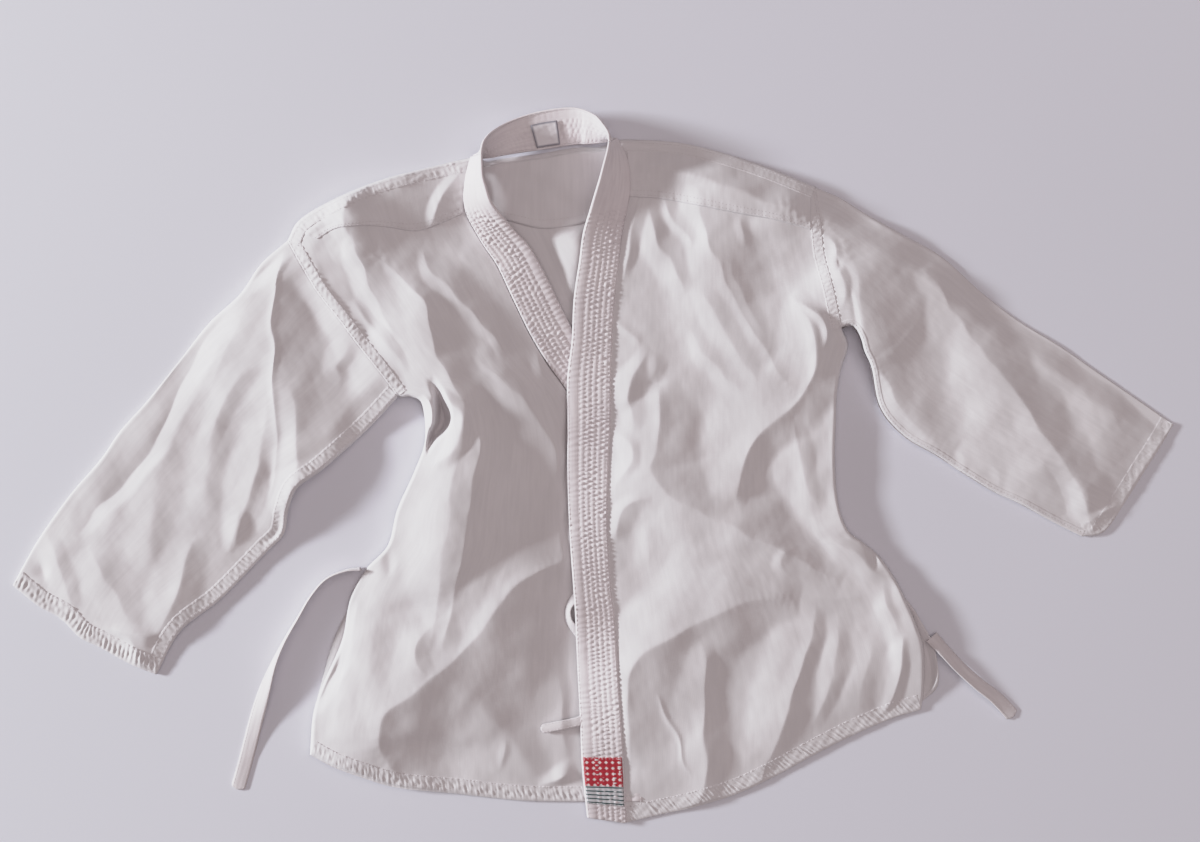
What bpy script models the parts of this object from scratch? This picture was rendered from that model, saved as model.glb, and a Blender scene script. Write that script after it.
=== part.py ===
# A martial arts jacket of white cotton canvas, laid out front up with its left front over its right.
#
# Blender's units are metres, with +Z up from the floor that the jacket lies on. The tables below give
# its lay in millimetres on a sheet 1200 wide and 842 deep, as (across, down) from the sheet's top left
# corner, seen from above with the collar at the top. Left and right in names are the wearer's, so the
# wearer's left lies towards +X. Heights are millimetres above the floor.

import math

import bmesh
import bpy
import numpy as np

COLLECTION = "martial arts jacket"
SHEET_WIDTH = 1200.0
SHEET_DEPTH = 842.0
MM = 0.001
# The lay was read from this far above the floor, so a raised point stands nearer the middle than it looks.
VIEW_HEIGHT = 1267.0

CLOTH = 1.2
BAND_WIDTH = 42.0
BAND_CLOTH = 3.0
LABEL_CLOTH = 0.8
TIE_CLOTH = 1.6
SIDE_TIE_WIDTH = 14.0
FRONT_TIE_WIDTH = 9.0
GAP = 0.3
SEAM_GAP = 0.7
# The back stands off the sleeves' crooked floor edge by this much, and a yoke's ends off their seams by this
# share of a cell.
BACK_INSET = 2.0
YOKE_INSET = 0.3

# The cloth rises from its outline to its usual height over this width, as a quarter of an ellipse.
EDGE_ROUND = 22.0
USUAL_RISE = 6.5
LOWEST_FRONT = CLOTH + GAP
TUBE_EDGE = 2.2
# The left front stands this high over the right lapel's hidden end, up to the first of these places across, and
# comes down to the back by the second.
OVERLAP_RISE = 5.8
OVERLAP_ENDS = (655.0, 705.0)
# The right front falls flat between these places across, before it goes under the left lapel.
PRESSED_FLAT = (490.0, 575.0)
UNFOLDED = (550.0, 575.0)
# The band's rows of stitching fade in between these places down. Above them it keeps this part of their depth.
STITCHED = (200.0, 222.0)
UNSTITCHED_DEPTH = 0.3

# Outlines, each from the collar downwards or from the sheet's left to its right.
SHOULDER_RIGHT = [(288, 240), (301, 219), (339, 197), (382, 180), (420, 170), (472, 158)]
SHOULDER_LEFT = [(616, 140), (660, 141), (700, 147), (760, 165), (815, 187)]
ARMHOLE_RIGHT = [(288, 240), (300, 262), (318, 292), (340, 320), (362, 349), (385, 378), (398, 396)]
ARMHOLE_LEFT = [(815, 187), (821, 228), (824, 254), (832, 283), (838, 310), (842, 328)]
SIDE_RIGHT = [(398, 396), (411, 397), (422, 405), (425, 440), (414, 472), (397, 510), (388, 545),
              (366, 569), (350, 598), (342, 640), (322, 686), (313, 715), (310, 754)]
SIDE_LEFT = [(842, 328), (848, 346), (841, 370), (837, 395), (836, 422), (835, 455), (838, 501), (848, 530),
             (864, 543), (880, 557), (896, 580), (906, 600), (917, 626), (924, 650), (924, 687), (921, 709)]
HEM_RIGHT = [(310, 754), (332, 766), (359, 776), (397, 787), (456, 793), (524, 800), (601, 801)]
HEM_LEFT = [(627, 822), (660, 814), (692, 807), (735, 794), (776, 775), (811, 756), (848, 737), (889, 719),
            (921, 709)]
ARM_OUTER_RIGHT = [(288, 240), (261, 264), (240, 294), (209, 323), (180, 360), (148, 400), (121, 430),
                   (100, 460), (70, 495), (38, 540), (13, 585)]
ARM_UNDER_RIGHT = [(398, 396), (374, 422), (350, 445), (320, 471), (297, 488), (288, 510), (283, 534),
                   (265, 553), (221, 598), (180, 631), (156, 674)]
CUFF_RIGHT = [(13, 585), (39, 606), (61, 618), (80, 637), (100, 647), (131, 664), (156, 674)]
ARM_OUTER_LEFT = [(815, 187), (840, 198), (866, 214), (904, 235), (942, 257), (981, 292), (1019, 321),
                  (1060, 346), (1102, 375), (1140, 401), (1173, 424)]
ARM_UNDER_LEFT = [(842, 328), (852, 326), (860, 338), (864, 352), (871, 368), (880, 408), (904, 436),
                  (936, 455), (965, 474), (993, 491), (1019, 503), (1054, 522), (1082, 536)]
CUFF_LEFT = [(1173, 424), (1159, 448), (1146, 468), (1124, 503), (1104, 531), (1082, 536)]
NECK_BACK = [(472, 158), (484, 162.5), (503, 159), (540, 154), (575, 148), (603, 147), (616, 140)]
VENT_RIGHT = [(366, 571), (347, 607), (332, 639), (320, 680), (312, 715), (312, 748)]
VENT_LEFT = [(900, 590), (911, 602), (930, 633), (938, 655), (940, 686), (922, 704)]
HEM_BACK = [(312, 750), (359, 771), (397, 782), (456, 788), (524, 795), (601, 796), (660, 806), (692, 802),
            (735, 789), (776, 770), (811, 751), (848, 732), (889, 714), (922, 704)]
YOKE_BACK_TOP = [(480, 167), (503, 163), (540, 158), (575, 152), (609, 150)]
YOKE_BACK_LOWER = [(474, 212), (508, 221), (545, 229), (585, 223), (612, 212)]

# The band that makes both lapels and the collar, from the left lapel's hem round the neck to the right lapel's.
# Each row is a station. Its seam edge stands seam_rise above the front panel that it is sewn to, and its free
# edge free_up above the floor.
BAND_COLUMNS = ("seam_across", "seam_down", "seam_rise", "free_across", "free_down", "free_up")
LAPEL_LEFT = [
    (627, 822, 0, 587, 817, 4.5),
    (625, 770, 0, 582, 770, 6.5),
    (622, 719, 0, 580, 719, 7.5),
    (618, 660, 0, 577, 660, 8.5),
    (614.5, 616, 0, 575, 616, 11.5),
    (611, 586, 0, 573, 586, 9.5),
    (608, 527, 0, 569, 527, 7),
    (609, 468, 0, 567, 468, 7),
    (611, 424, 0, 567, 424, 7.5),
    (611.5, 380, 0, 567, 380, 8),
    (612.5, 340, 0, 571.5, 340, 9),
    (615, 300, 0, 573.5, 299, 10),
    (619, 262, 0.5, 579, 261, 12),
    (622, 235, 1.5, 582.5, 234, 16),
    (626.5, 212, 3, 589, 211, 21),
    (629.5, 195, 3, 594, 194, 27),
    (629.5, 180, 3, 598.5, 179, 33),
    (628, 166, 3, 602.5, 164, 37),
    (624, 154, 4, 606, 151, 40),
    (616, 140, 6, 608, 142, 41),
]
COLLAR = [
    (616, 140, 6, 608, 142, 41),
    (609, 142, 4, 607, 133, 38),
    (601, 143.5, 3, 602, 124, 32),
    (591, 144.5, 2.5, 593, 114, 24),
    (575, 145, 2, 575, 107.5, 16),
    (557, 147.5, 2, 551, 109, 12),
    (538, 150.5, 2, 528, 114, 11),
    (520, 153, 2, 508, 121.5, 16),
    (503, 156, 2.5, 493, 130.5, 27),
    (491, 158.5, 3, 485.5, 139, 36),
    (482, 159, 3, 483, 147, 40),
    (472, 158, 3, 482.5, 154, 41),
]
LAPEL_RIGHT = [
    (472, 158, 3, 482.5, 154, 41),
    (469.5, 166, 3, 483, 165, 40),
    (467, 175, 3, 484, 176, 38),
    (465, 187, 3, 487.5, 188, 34),
    (464, 200, 3, 491.5, 200, 29),
    (467, 215, 3, 498, 209.5, 23),
    (475, 231, 1.5, 506, 219.5, 17),
    (485, 248, 0.5, 516, 231, 12),
    (497, 266, 0, 531, 248, 9),
    (512, 298, 0, 549, 281, 6),
    (530, 335, 0, 567, 318, 3.6),
    (548, 365, 0, 584, 347, 2.5),
    (570, 397, 0, 608, 377, 2),
    (588, 440, 0, 629, 425, 2),
    (597, 500, 0, 639, 493, 2),
    (600, 570, 0, 642, 567, 2),
    (601, 680, 0, 643, 680, 2),
    (601, 801, 0, 643, 801, 2),
]
# Places across the quilted band, and the share of its thickness that each has: low on a row of stitching.
QUILT_COLUMNS = ("from_seam", "share")
QUILT = [(0, 0.8), (1.3, 1), (2.5, 0.76), (5.2, 1), (8, 0.76), (10.7, 1), (13.5, 0.76), (16.2, 1),
         (19, 0.76), (21.7, 1), (24.5, 0.76), (27.2, 1), (30, 0.76), (35, 1), (40.5, 1), (42, 0.75)]
COLLAR_PROFILE = [(0, 0.85), (2, 1), (14, 1), (28, 1), (40, 1), (42, 0.8)]

# The largest folds. Each ridge runs down the sheet through points (across, down, rise), and falls off over one
# width towards the sheet's left and another towards its right. A trough has a negative rise.
FOLD_COLUMNS = ("points", "left_width", "right_width")
RIGHT_FOLDS = [
    ([(348, 236, 0), (386, 266, 9), (418, 294, 13), (430, 330, 14), (441, 366, 14), (460, 408, 13),
      (455, 468, 15), (445, 530, 14), (438, 600, 8), (430, 655, 0)], 55, 24),
    ([(410, 232, 0), (432, 266, 8), (463, 316, 9), (490, 352, 7), (520, 400, 7), (542, 446, 5),
      (556, 480, 0)], 24, 32),
    ([(334, 236, 0), (352, 262, 7), (366, 300, 8), (386, 333, 6), (402, 362, 0)], 20, 18),
    ([(562, 557, 0), (520, 574, 9), (486, 606, 18), (447, 651, 22), (405, 690, 22), (382, 728, 17),
      (390, 768, 0)], 32, 78),
    ([(520, 640, 0), (545, 690, 4), (556, 745, 4), (566, 785, 0)], 26, 18),
    ([(366, 585, 0), (353, 640, 6), (342, 700, 5), (338, 745, 0)], 18, 22),
    ([(284, 262, 0), (282, 300, 13), (284, 345, 17), (289, 405, 18), (291, 455, 16), (283, 495, 12),
      (262, 532, 0)], 18, 48),
    ([(228, 300, 0), (205, 345, -4), (180, 393, -5), (150, 442, -5), (110, 497, -4), (78, 545, 0)], 20, 24),
    ([(120, 515, 0), (150, 560, 6), (168, 600, 6), (160, 645, 0)], 30, 24),
    ([(40, 525, 0), (56, 568, 5), (72, 612, 0)], 16, 16),
    ([(370, 345, 0), (385, 385, 8), (372, 412, 0)], 40, 16),
]
LEFT_FOLDS = [
    ([(642, 186, 0), (684, 172, 8), (722, 184, 11), (762, 201, 12), (800, 217, 12), (822, 242, 8),
      (832, 282, 0)], 60, 42),
    ([(702, 205, 0), (714, 240, 9), (710, 285, 8), (702, 330, 4), (706, 372, 0)], 42, 46),
    ([(648, 212, 0), (668, 243, 6), (684, 282, 6), (700, 330, 5), (732, 372, 0)], 22, 14),
    ([(772, 285, 0), (804, 318, 9), (815, 350, 12), (804, 390, 12), (770, 420, 12), (742, 452, 12),
      (733, 482, 6), (738, 500, 0)], 36, 22),
    ([(656, 380, 0), (661, 420, 11), (654, 472, 15), (685, 507, 13), (740, 529, 11), (800, 552, 10),
      (860, 574, 6), (895, 592, 0)], 28, 52),
    ([(800, 418, 0), (814, 450, 8), (812, 500, 8), (832, 528, 0)], 26, 16),
    ([(700, 580, 0), (702, 625, 5), (704, 680, 12), (708, 745, 12), (713, 788, 0)], 26, 46),
    ([(790, 603, 0), (740, 600, 8), (690, 622, 8), (645, 652, 0)], 30, 40),
    ([(850, 598, 0), (822, 630, 8), (804, 665, 11), (793, 710, 10), (776, 760, 0)], 60, 26),
    ([(896, 630, 0), (881, 665, 6), (870, 722, 0)], 26, 16),
    ([(858, 262, 0), (864, 300, 12), (868, 350, 14), (880, 385, 12), (905, 420, 9), (950, 452, 5),
      (1000, 486, 0)], 20, 62),
    ([(925, 268, 0), (958, 322, 9), (1000, 375, 12), (1040, 425, 12), (1076, 475, 10), (1104, 522, 0)],
     46, 32),
    ([(1000, 322, 0), (1050, 368, 4), (1100, 412, 4), (1142, 450, 0)], 20, 24),
    ([(1005, 474, 0), (1040, 488, 5), (1062, 503, 6), (1080, 528, 0)], 22, 16),
]

# Ties: the strip's middle, how far its lower edge stands off what it lies on, and its tilt from flat in
# degrees.
TIE_COLUMNS = ("across", "down", "off", "tilt")
TIE_SIDE_RIGHT = [(361, 569.5, 1, 78), (345, 571.5, 0.6, 84), (326, 580, 0.3, 86), (311, 597, 0.3, 86),
                  (298, 619, 0.3, 84), (284, 643, 0.3, 80), (273, 667, 0.3, 66), (264, 694, 0.2, 36),
                  (256, 722, 0.1, 12), (247, 757, 0, 0), (238, 789, 0, 0)]
TIE_SIDE_LEFT = [(931, 637, 2.2, -14), (944, 651, 1.4, -32), (960, 668, 0.8, -34), (978, 684, 0.4, -30),
                 (997, 699, 0.2, -20), (1013, 716, 0, 0)]
TIE_FRONT = [(589, 585, 0.7, 0), (577, 596, 0.7, 18), (570, 606, 0.7, 50), (568.5, 614, 0.7, 55),
             (571, 623, 0.7, 50), (579, 633, 0.7, 18), (588, 646, 0.7, 0), (588.5, 700, 0.7, 0),
             (583, 719, 0.7, 0), (571, 726, 0.7, 0), (545, 729.5, 0.7, 0)]

# Labels, between two shares of their strip's length and two distances from its seam edge.
LAPEL_LABEL = {"lengthwise": (0.024, 0.096), "from_seam": (2.5, 40.0)}
NECK_LABEL = {"lengthwise": (0.385, 0.545), "from_seam": (3.0, 29.0)}
LABEL_CELLS = (3, 4)

# Cells across and along each piece, and how much closer together they lie towards its edges.
FRONT_CELLS = (19, 26)
FRONT_CLOSENESS = (0.6, 0.35)
SLEEVE_CELLS = (12, 18)
SLEEVE_CLOSENESS = (0.5, 0.3)
SLEEVE_EDGE_LEVELS = (0.75, 0.25)
FLOOR_EVERY = 3
COLLAR_CELLS = 28
YOKE_CELLS = 3
YOKE_BACK_CELLS = (10, 4)
TIE_CELLS = (2, 24)
BACK_EDGE_POINTS = 15
VENT_START = 5.0
CURVE_STEPS = 24
FOLD_STEPS = 40

COTTON = (0.78, 0.73, 0.74)
MATERIALS = {
    "cotton_canvas": (COTTON, 0.9),
    "quilted_canvas": ((0.80, 0.75, 0.76), 0.9),
    "cotton_tape": ((0.80, 0.76, 0.76), 0.88),
    "plain_label": ((0.83, 0.80, 0.80), 0.75),
    "woven_label": ((0.62, 0.05, 0.08), 0.7),
}


def clear_scene():
    for obj in list(bpy.data.objects):
        bpy.data.objects.remove(obj, do_unlink=True)


def make_material(name):
    color, roughness = MATERIALS[name]
    material = bpy.data.materials.new(name)
    material.use_nodes = True
    shader = material.node_tree.nodes["Principled BSDF"]
    shader.inputs["Base Color"].default_value = (*color, 1.0)
    shader.inputs["Roughness"].default_value = roughness
    shader.inputs["Metallic"].default_value = 0.0
    return material


# Sheet millimetres to metres on the floor.
def placed(across, down, up):
    nearer = (1.0 - np.asarray(up) / VIEW_HEIGHT) * MM
    x = (np.asarray(across) - SHEET_WIDTH / 2) * nearer
    y = (SHEET_DEPTH / 2 - np.asarray(down)) * nearer
    return np.stack([x, y, np.broadcast_to(up, x.shape) * MM], axis=-1)


def ease(value, start, end):
    share = np.clip((value - start) / (end - start), 0.0, 1.0)
    return share * share * (3.0 - 2.0 * share)


# Shares from 0 to 1 that lie closer together towards both ends.
def spread(cells, closeness):
    share = np.linspace(0.0, 1.0, cells + 1)
    return share - closeness * np.sin(2 * math.pi * share) / (2 * math.pi)


# The smooth curve through some points, read at these shares of its length. Length counts the first two columns.
def along(points, shares):
    points = np.asarray(points, float)
    padded = np.concatenate([[2 * points[0] - points[1]], points, [2 * points[-1] - points[-2]]])
    t = np.linspace(0.0, 1.0, CURVE_STEPS, endpoint=False)[:, None]
    pieces = []
    for before, start, end, after in zip(padded, padded[1:], padded[2:], padded[3:]):
        bend = 2 * before - 5 * start + 4 * end - after
        twist = 3 * start - before - 3 * end + after
        pieces.append(0.5 * (2 * start + (end - before) * t + bend * t**2 + twist * t**3))
    fine = np.concatenate(pieces + [points[-1:]])
    run = np.concatenate([[0.0], np.cumsum(np.linalg.norm(np.diff(fine[:, :2], axis=0), axis=1))])
    return np.stack([np.interp(np.asarray(shares) * run[-1], run, column) for column in fine.T], axis=-1)


# A line moved sideways: a positive distance goes to the sheet's right of a line that runs down it.
def beside(line, distance):
    run = np.gradient(line[:, :2], axis=0)
    run /= np.linalg.norm(run, axis=1)[:, None]
    return line[:, :2] + distance * np.stack([run[:, 1], -run[:, 0]], axis=-1)


# The places inside four lines, by row and column. Its sides lie exactly on the left and right lines.
def between(top, bottom, left, right, columns, rows):
    s = columns[None, :, None]
    t = rows[:, None, None]
    corners = (1 - s) * (1 - t) * top[0] + s * (1 - t) * top[-1] + (1 - s) * t * bottom[0] + s * t * bottom[-1]
    return (1 - t) * top[None] + t * bottom[None] + (1 - s) * left[:, None] + s * right[:, None] - corners


# For each place and each stretch of a line: the share along the stretch, the distance, and the side, above 0 on
# the sheet's left of a line that runs down it.
def measured(line, across, down):
    starts, run = line[:-1, :2], np.diff(line[:, :2], axis=0)
    to_place = np.stack([across, down], axis=-1)[..., None, :] - starts
    share = np.clip((to_place * run).sum(-1) / (run * run).sum(-1), 0.0, 1.0)
    distance = np.linalg.norm(to_place - share[..., None] * run, axis=-1)
    side = run[:, 0] * to_place[..., 1] - run[:, 1] * to_place[..., 0]
    return share, distance, side


def fold_rise(fold, across, down):
    points, left_width, right_width = fold
    line = along(points, np.linspace(0.0, 1.0, FOLD_STEPS))
    share, distance, side = measured(line, across, down)
    nearest = distance.argmin(axis=-1)[..., None]
    rise = line[:-1, 2] + share * np.diff(line[:, 2])
    rise, distance, side = (np.take_along_axis(found, nearest, -1)[..., 0] for found in (rise, distance, side))
    reach = distance / np.where(side > 0, left_width, right_width)
    return rise * np.clip(1.0 - reach**2, 0.0, 1.0) ** 2


def jacket_outline():
    lines = [SHOULDER_RIGHT, SHOULDER_LEFT, ARM_OUTER_LEFT, CUFF_LEFT, ARM_UNDER_LEFT[::-1], SIDE_LEFT,
             HEM_LEFT[::-1], HEM_RIGHT[::-1], SIDE_RIGHT[::-1], ARM_UNDER_RIGHT, CUFF_RIGHT[::-1],
             ARM_OUTER_RIGHT[::-1]]
    points = np.array([point for line in lines for point in line], float)
    repeated = np.linalg.norm(np.diff(points, axis=0, append=points[:1]), axis=1) == 0
    return points[~repeated]


# How far in from the jacket's outline each place is, as a share of the width over which the edge is rounded.
def inwards(across, down):
    return np.clip(measured(jacket_outline(), across, down)[1].min(axis=-1) / EDGE_ROUND, 0.0, 1.0)


# The underside's height above the floor over the right half, and then over the left half that laps it.
def right_height(across, down):
    inside = inwards(across, down)
    usual = USUAL_RISE * np.sqrt(1.0 - (1.0 - inside) ** 2) * (1.0 - ease(across, *PRESSED_FLAT))
    folds = sum(fold_rise(fold, across, down) for fold in RIGHT_FOLDS) * (1.0 - ease(across, *UNFOLDED))
    return np.maximum(LOWEST_FRONT + usual + folds * ease(inside, 0.0, 1.0), LOWEST_FRONT)


def left_height(across, down):
    inside = inwards(across, down)
    usual = LOWEST_FRONT + USUAL_RISE * np.sqrt(1.0 - (1.0 - inside) ** 2)
    folds = sum(fold_rise(fold, across, down) for fold in LEFT_FOLDS)
    lowest = OVERLAP_RISE + (LOWEST_FRONT - OVERLAP_RISE) * ease(across, *OVERLAP_ENDS)
    return np.maximum(usual + folds * ease(inside, 0.0, 1.0), np.minimum(lowest, usual))


# The way that a grid of points faces, at each of them.
def facing(points):
    normals = np.cross(np.gradient(points, axis=1), np.gradient(points, axis=0))
    return normals / np.linalg.norm(normals, axis=-1)[..., None]


# A sheet through rows and columns of points, thickened away from the side that it faces. A ring's first and
# last columns are joined. Shares give each point its part of the thickness.
def cloth(name, points, thickness, material, shares=None, ring=False):
    rows, columns = points.shape[:2]
    mesh = bpy.data.meshes.new(name)
    shape = bmesh.new()
    layer = shape.verts.layers.deform.verify() if shares is not None else None
    bmesh.ops.create_grid(shape, x_segments=columns - 1, y_segments=rows - 1, size=0.5)
    for vert in shape.verts:
        place = round((vert.co.y + 0.5) * (rows - 1)), round((vert.co.x + 0.5) * (columns - 1))
        vert.co = points[place]
        if shares is not None:
            vert[layer][0] = shares[place]
    if ring:
        bmesh.ops.remove_doubles(shape, verts=shape.verts, dist=1e-6)
    shape.to_mesh(mesh)
    shape.free()
    mesh.materials.append(materials[material])
    mesh.shade_smooth()
    obj = bpy.data.objects.new(name, mesh)
    jacket.objects.link(obj)
    shell = obj.modifiers.new("cloth", "SOLIDIFY")
    shell.thickness = thickness * MM
    shell.offset = -1.0
    if shares is not None:
        obj.vertex_groups.new(name="thickness")
        shell.vertex_group = "thickness"


def front(name, top, hem, left, right, height):
    columns, rows = map(spread, FRONT_CELLS, FRONT_CLOSENESS)
    plan = between(along(top, columns), along(hem, columns), left, right, columns, rows)
    points = placed(plan[..., 0], plan[..., 1], height(plan[..., 0], plan[..., 1]))
    cloth(name, points, CLOTH, "cotton_canvas")
    return points


# A shoulder yoke is the front's own first rows, moved out past its cloth.
def front_yoke(name, front_points):
    points = (front_points - facing(front_points) * (CLOTH + GAP) * MM)[: YOKE_CELLS + 1]
    for end, inner in ((0, 1), (-1, -2)):
        points[:, end] += YOKE_INSET * (points[:, inner] - points[:, end])
    cloth(name, points, CLOTH, "cotton_canvas")


# A flattened tube. Each ring crosses over the top from the first side to the last, rounds that edge and comes
# back along the floor.
def sleeve(name, armhole, cuff, first_side, last_side, height):
    columns, rows = map(spread, SLEEVE_CELLS, SLEEVE_CLOSENESS)
    plan = between(along(first_side, rows), along(last_side, rows), armhole(columns), along(cuff, columns),
                   rows, columns).swapaxes(0, 1)
    first, last = plan[:, :1].copy(), plan[:, -1:].copy()
    in_line = (last - first) / np.linalg.norm(last - first, axis=-1)[..., None]
    plan[:, :1] = first + in_line * TUBE_EDGE
    plan[:, -1:] = last - in_line * TUBE_EDGE
    over_up = height(plan[..., 0], plan[..., 1])
    floor = plan[:, ::-FLOOR_EVERY]
    floor_up = np.full(floor.shape[:2], CLOTH)
    edge_up = CLOTH + (over_up[:, [-1, 0]] - CLOTH)[..., None] * np.array(SLEEVE_EDGE_LEVELS)
    last_edge = np.repeat(last - in_line * CLOTH, len(SLEEVE_EDGE_LEVELS), axis=1)
    first_edge = np.repeat(first + in_line * CLOTH, len(SLEEVE_EDGE_LEVELS), axis=1)
    ring = np.concatenate([plan, last_edge, floor, first_edge, plan[:, :1]], axis=1)
    ring_up = np.concatenate([over_up, edge_up[:, 0], floor_up, edge_up[:, 1, ::-1], over_up[:, :1]], axis=1)
    cloth(name, placed(ring[..., 0], ring[..., 1], ring_up), CLOTH, "cotton_canvas", ring=True)


# The wearer's side of the band at shares of a table's length and at distances from its seam edge.
def band_points(stations, shares, from_seam, height):
    seam_across, seam_down, seam_rise, free_across, free_down, free_up = along(stations, shares).T
    seam = placed(seam_across, seam_down, seam_rise + height(seam_across, seam_down))
    free = placed(free_across, free_down, free_up)
    part = (np.asarray(from_seam) / BAND_WIDTH)[None, :, None]
    return seam[:, None] * (1 - part) + free[:, None] * part


def band(name, stations, shares, profile, height):
    from_seam, thickness = np.array(profile, float).T
    points = band_points(stations, shares, from_seam, height)
    down = along(stations, shares)[:, 1]
    depth = np.maximum(ease(down, *STITCHED), UNSTITCHED_DEPTH)[:, None]
    cloth(name, points, BAND_CLOTH, "quilted_canvas", shares=1.0 - (1.0 - thickness) * depth)


def label(name, stations, span, height, outside, material):
    shares = np.linspace(*span["lengthwise"], LABEL_CELLS[1] + 1)
    points = band_points(stations, shares, np.linspace(*span["from_seam"], LABEL_CELLS[0] + 1), height)
    if outside:
        points = points - facing(points) * (BAND_CLOTH + GAP) * MM
    else:
        points = (points + facing(points) * GAP * MM)[:, ::-1]
    cloth(name, points, LABEL_CLOTH, material)


def on_floor(across, down):
    return np.zeros(np.shape(across))


def on_right_front(across, down):
    return right_height(across, down) + CLOTH


def tie(name, stations, width, lies_on):
    across, down, off, tilt = along(stations, np.linspace(0.0, 1.0, TIE_CELLS[1] + 1)).T
    run = np.gradient(np.stack([across, down], axis=-1), axis=0)
    run /= np.linalg.norm(run, axis=1)[:, None]
    half = width / 2 * np.linspace(-1.0, 1.0, TIE_CELLS[0] + 1)
    level, rise = np.cos(np.radians(tilt))[:, None] * half, np.sin(np.radians(tilt))[:, None] * half
    across = across[:, None] + run[:, 1:] * level
    down = down[:, None] - run[:, :1] * level
    up = off[:, None] + rise - rise.min(axis=1)[:, None] + lies_on(across, down)
    cloth(name, placed(across, down, up), TIE_CLOTH, "cotton_tape")


def back_panel():
    edges = np.linspace(0.0, 1.0, BACK_EDGE_POINTS)
    armhole = spread(SLEEVE_CELLS[0], SLEEVE_CLOSENESS[0])[::FLOOR_EVERY]
    side_right = [point for point in SIDE_RIGHT if point[1] < VENT_RIGHT[0][1] - VENT_START]
    side_left = [point for point in SIDE_LEFT if point[1] < VENT_LEFT[0][1] - VENT_START]
    lines = [
        beside(along(ARMHOLE_RIGHT, armhole), BACK_INSET)[::-1],
        along(SHOULDER_RIGHT, edges),
        along(NECK_BACK, edges),
        along(SHOULDER_LEFT, edges),
        beside(along(ARMHOLE_LEFT, armhole), -BACK_INSET),
        along(side_left, edges),
        along(VENT_LEFT, edges),
        along(HEM_BACK, edges)[::-1],
        along(VENT_RIGHT, edges)[::-1],
        along(side_right, edges)[::-1],
    ]
    outline = np.concatenate([line[:-1] for line in lines])
    curve = bpy.data.curves.new("back_panel", "CURVE")
    curve.dimensions = "2D"
    curve.fill_mode = "BOTH"
    curve.extrude = CLOTH * MM / 2
    edge = curve.splines.new("POLY")
    edge.points.add(len(outline) - 1)
    for point, co in zip(edge.points, placed(outline[:, 0], outline[:, 1], 0.0)):
        point.co = (*co, 1.0)
    edge.use_cyclic_u = True
    curve.materials.append(materials["cotton_canvas"])
    obj = bpy.data.objects.new("back_panel", curve)
    obj.location.z = CLOTH * MM / 2
    jacket.objects.link(obj)


def back_yoke():
    columns, rows = (spread(cells, 0.0) for cells in YOKE_BACK_CELLS)
    top, lower = along(YOKE_BACK_TOP, columns), along(YOKE_BACK_LOWER, columns)
    left = along([YOKE_BACK_TOP[0], YOKE_BACK_LOWER[0]], rows)
    right = along([YOKE_BACK_TOP[-1], YOKE_BACK_LOWER[-1]], rows)
    plan = between(top, lower, left, right, columns, rows)
    cloth("back_yoke", placed(plan[..., 0], plan[..., 1], CLOTH + GAP), CLOTH, "cotton_canvas")


def right_half():
    rows = spread(FRONT_CELLS[1], FRONT_CLOSENESS[1])
    seam = beside(along(LAPEL_RIGHT, rows), -GAP)
    side = beside(along(ARMHOLE_RIGHT + SIDE_RIGHT[1:], rows), SEAM_GAP / 2)
    points = front("front_right", SHOULDER_RIGHT, HEM_RIGHT, side, seam, right_height)
    front_yoke("yoke_right", points)
    band("lapel_right", LAPEL_RIGHT, rows, QUILT, right_height)
    sleeve("sleeve_right", lambda shares: beside(along(ARMHOLE_RIGHT, shares), -SEAM_GAP / 2),
           CUFF_RIGHT, ARM_OUTER_RIGHT, ARM_UNDER_RIGHT, right_height)


def left_half():
    rows = spread(FRONT_CELLS[1], FRONT_CLOSENESS[1])
    seam = beside(along(LAPEL_LEFT[::-1], rows), GAP)
    side = beside(along(ARMHOLE_LEFT + SIDE_LEFT[1:], rows), -SEAM_GAP / 2)
    points = front("front_left", SHOULDER_LEFT, HEM_LEFT, seam, side, left_height)
    front_yoke("yoke_left", points)
    band("lapel_left", LAPEL_LEFT, 1.0 - rows[::-1], QUILT, left_height)
    sleeve("sleeve_left", lambda shares: beside(along(ARMHOLE_LEFT, shares), SEAM_GAP / 2)[::-1],
           CUFF_LEFT[::-1], ARM_UNDER_LEFT, ARM_OUTER_LEFT, left_height)


clear_scene()
jacket = bpy.data.collections.new(COLLECTION)
bpy.context.scene.collection.children.link(jacket)
materials = {name: make_material(name) for name in MATERIALS}
back_panel()
back_yoke()
right_half()
left_half()
band("collar_back", COLLAR, np.linspace(0.0, 1.0, COLLAR_CELLS + 1), COLLAR_PROFILE, left_height)
label("neck_label", COLLAR, NECK_LABEL, left_height, False, "plain_label")
label("lapel_label", LAPEL_LEFT, LAPEL_LABEL, left_height, True, "woven_label")
tie("tie_side_right", TIE_SIDE_RIGHT, SIDE_TIE_WIDTH, on_floor)
tie("tie_side_left", TIE_SIDE_LEFT, SIDE_TIE_WIDTH, on_floor)
tie("tie_front", TIE_FRONT, FRONT_TIE_WIDTH, on_right_front)
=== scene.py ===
# A white cotton martial arts jacket, laid out front up on a pale floor, its left front over its right.
# Places are millimetres on a sheet 1200 wide and 842 deep, seen from above, as (across, down). Left and right
# in names are the wearer's, so the left sleeve lies towards +X.
import math

import bmesh
import bpy
import numpy as np
from mathutils import Matrix, Vector


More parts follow.
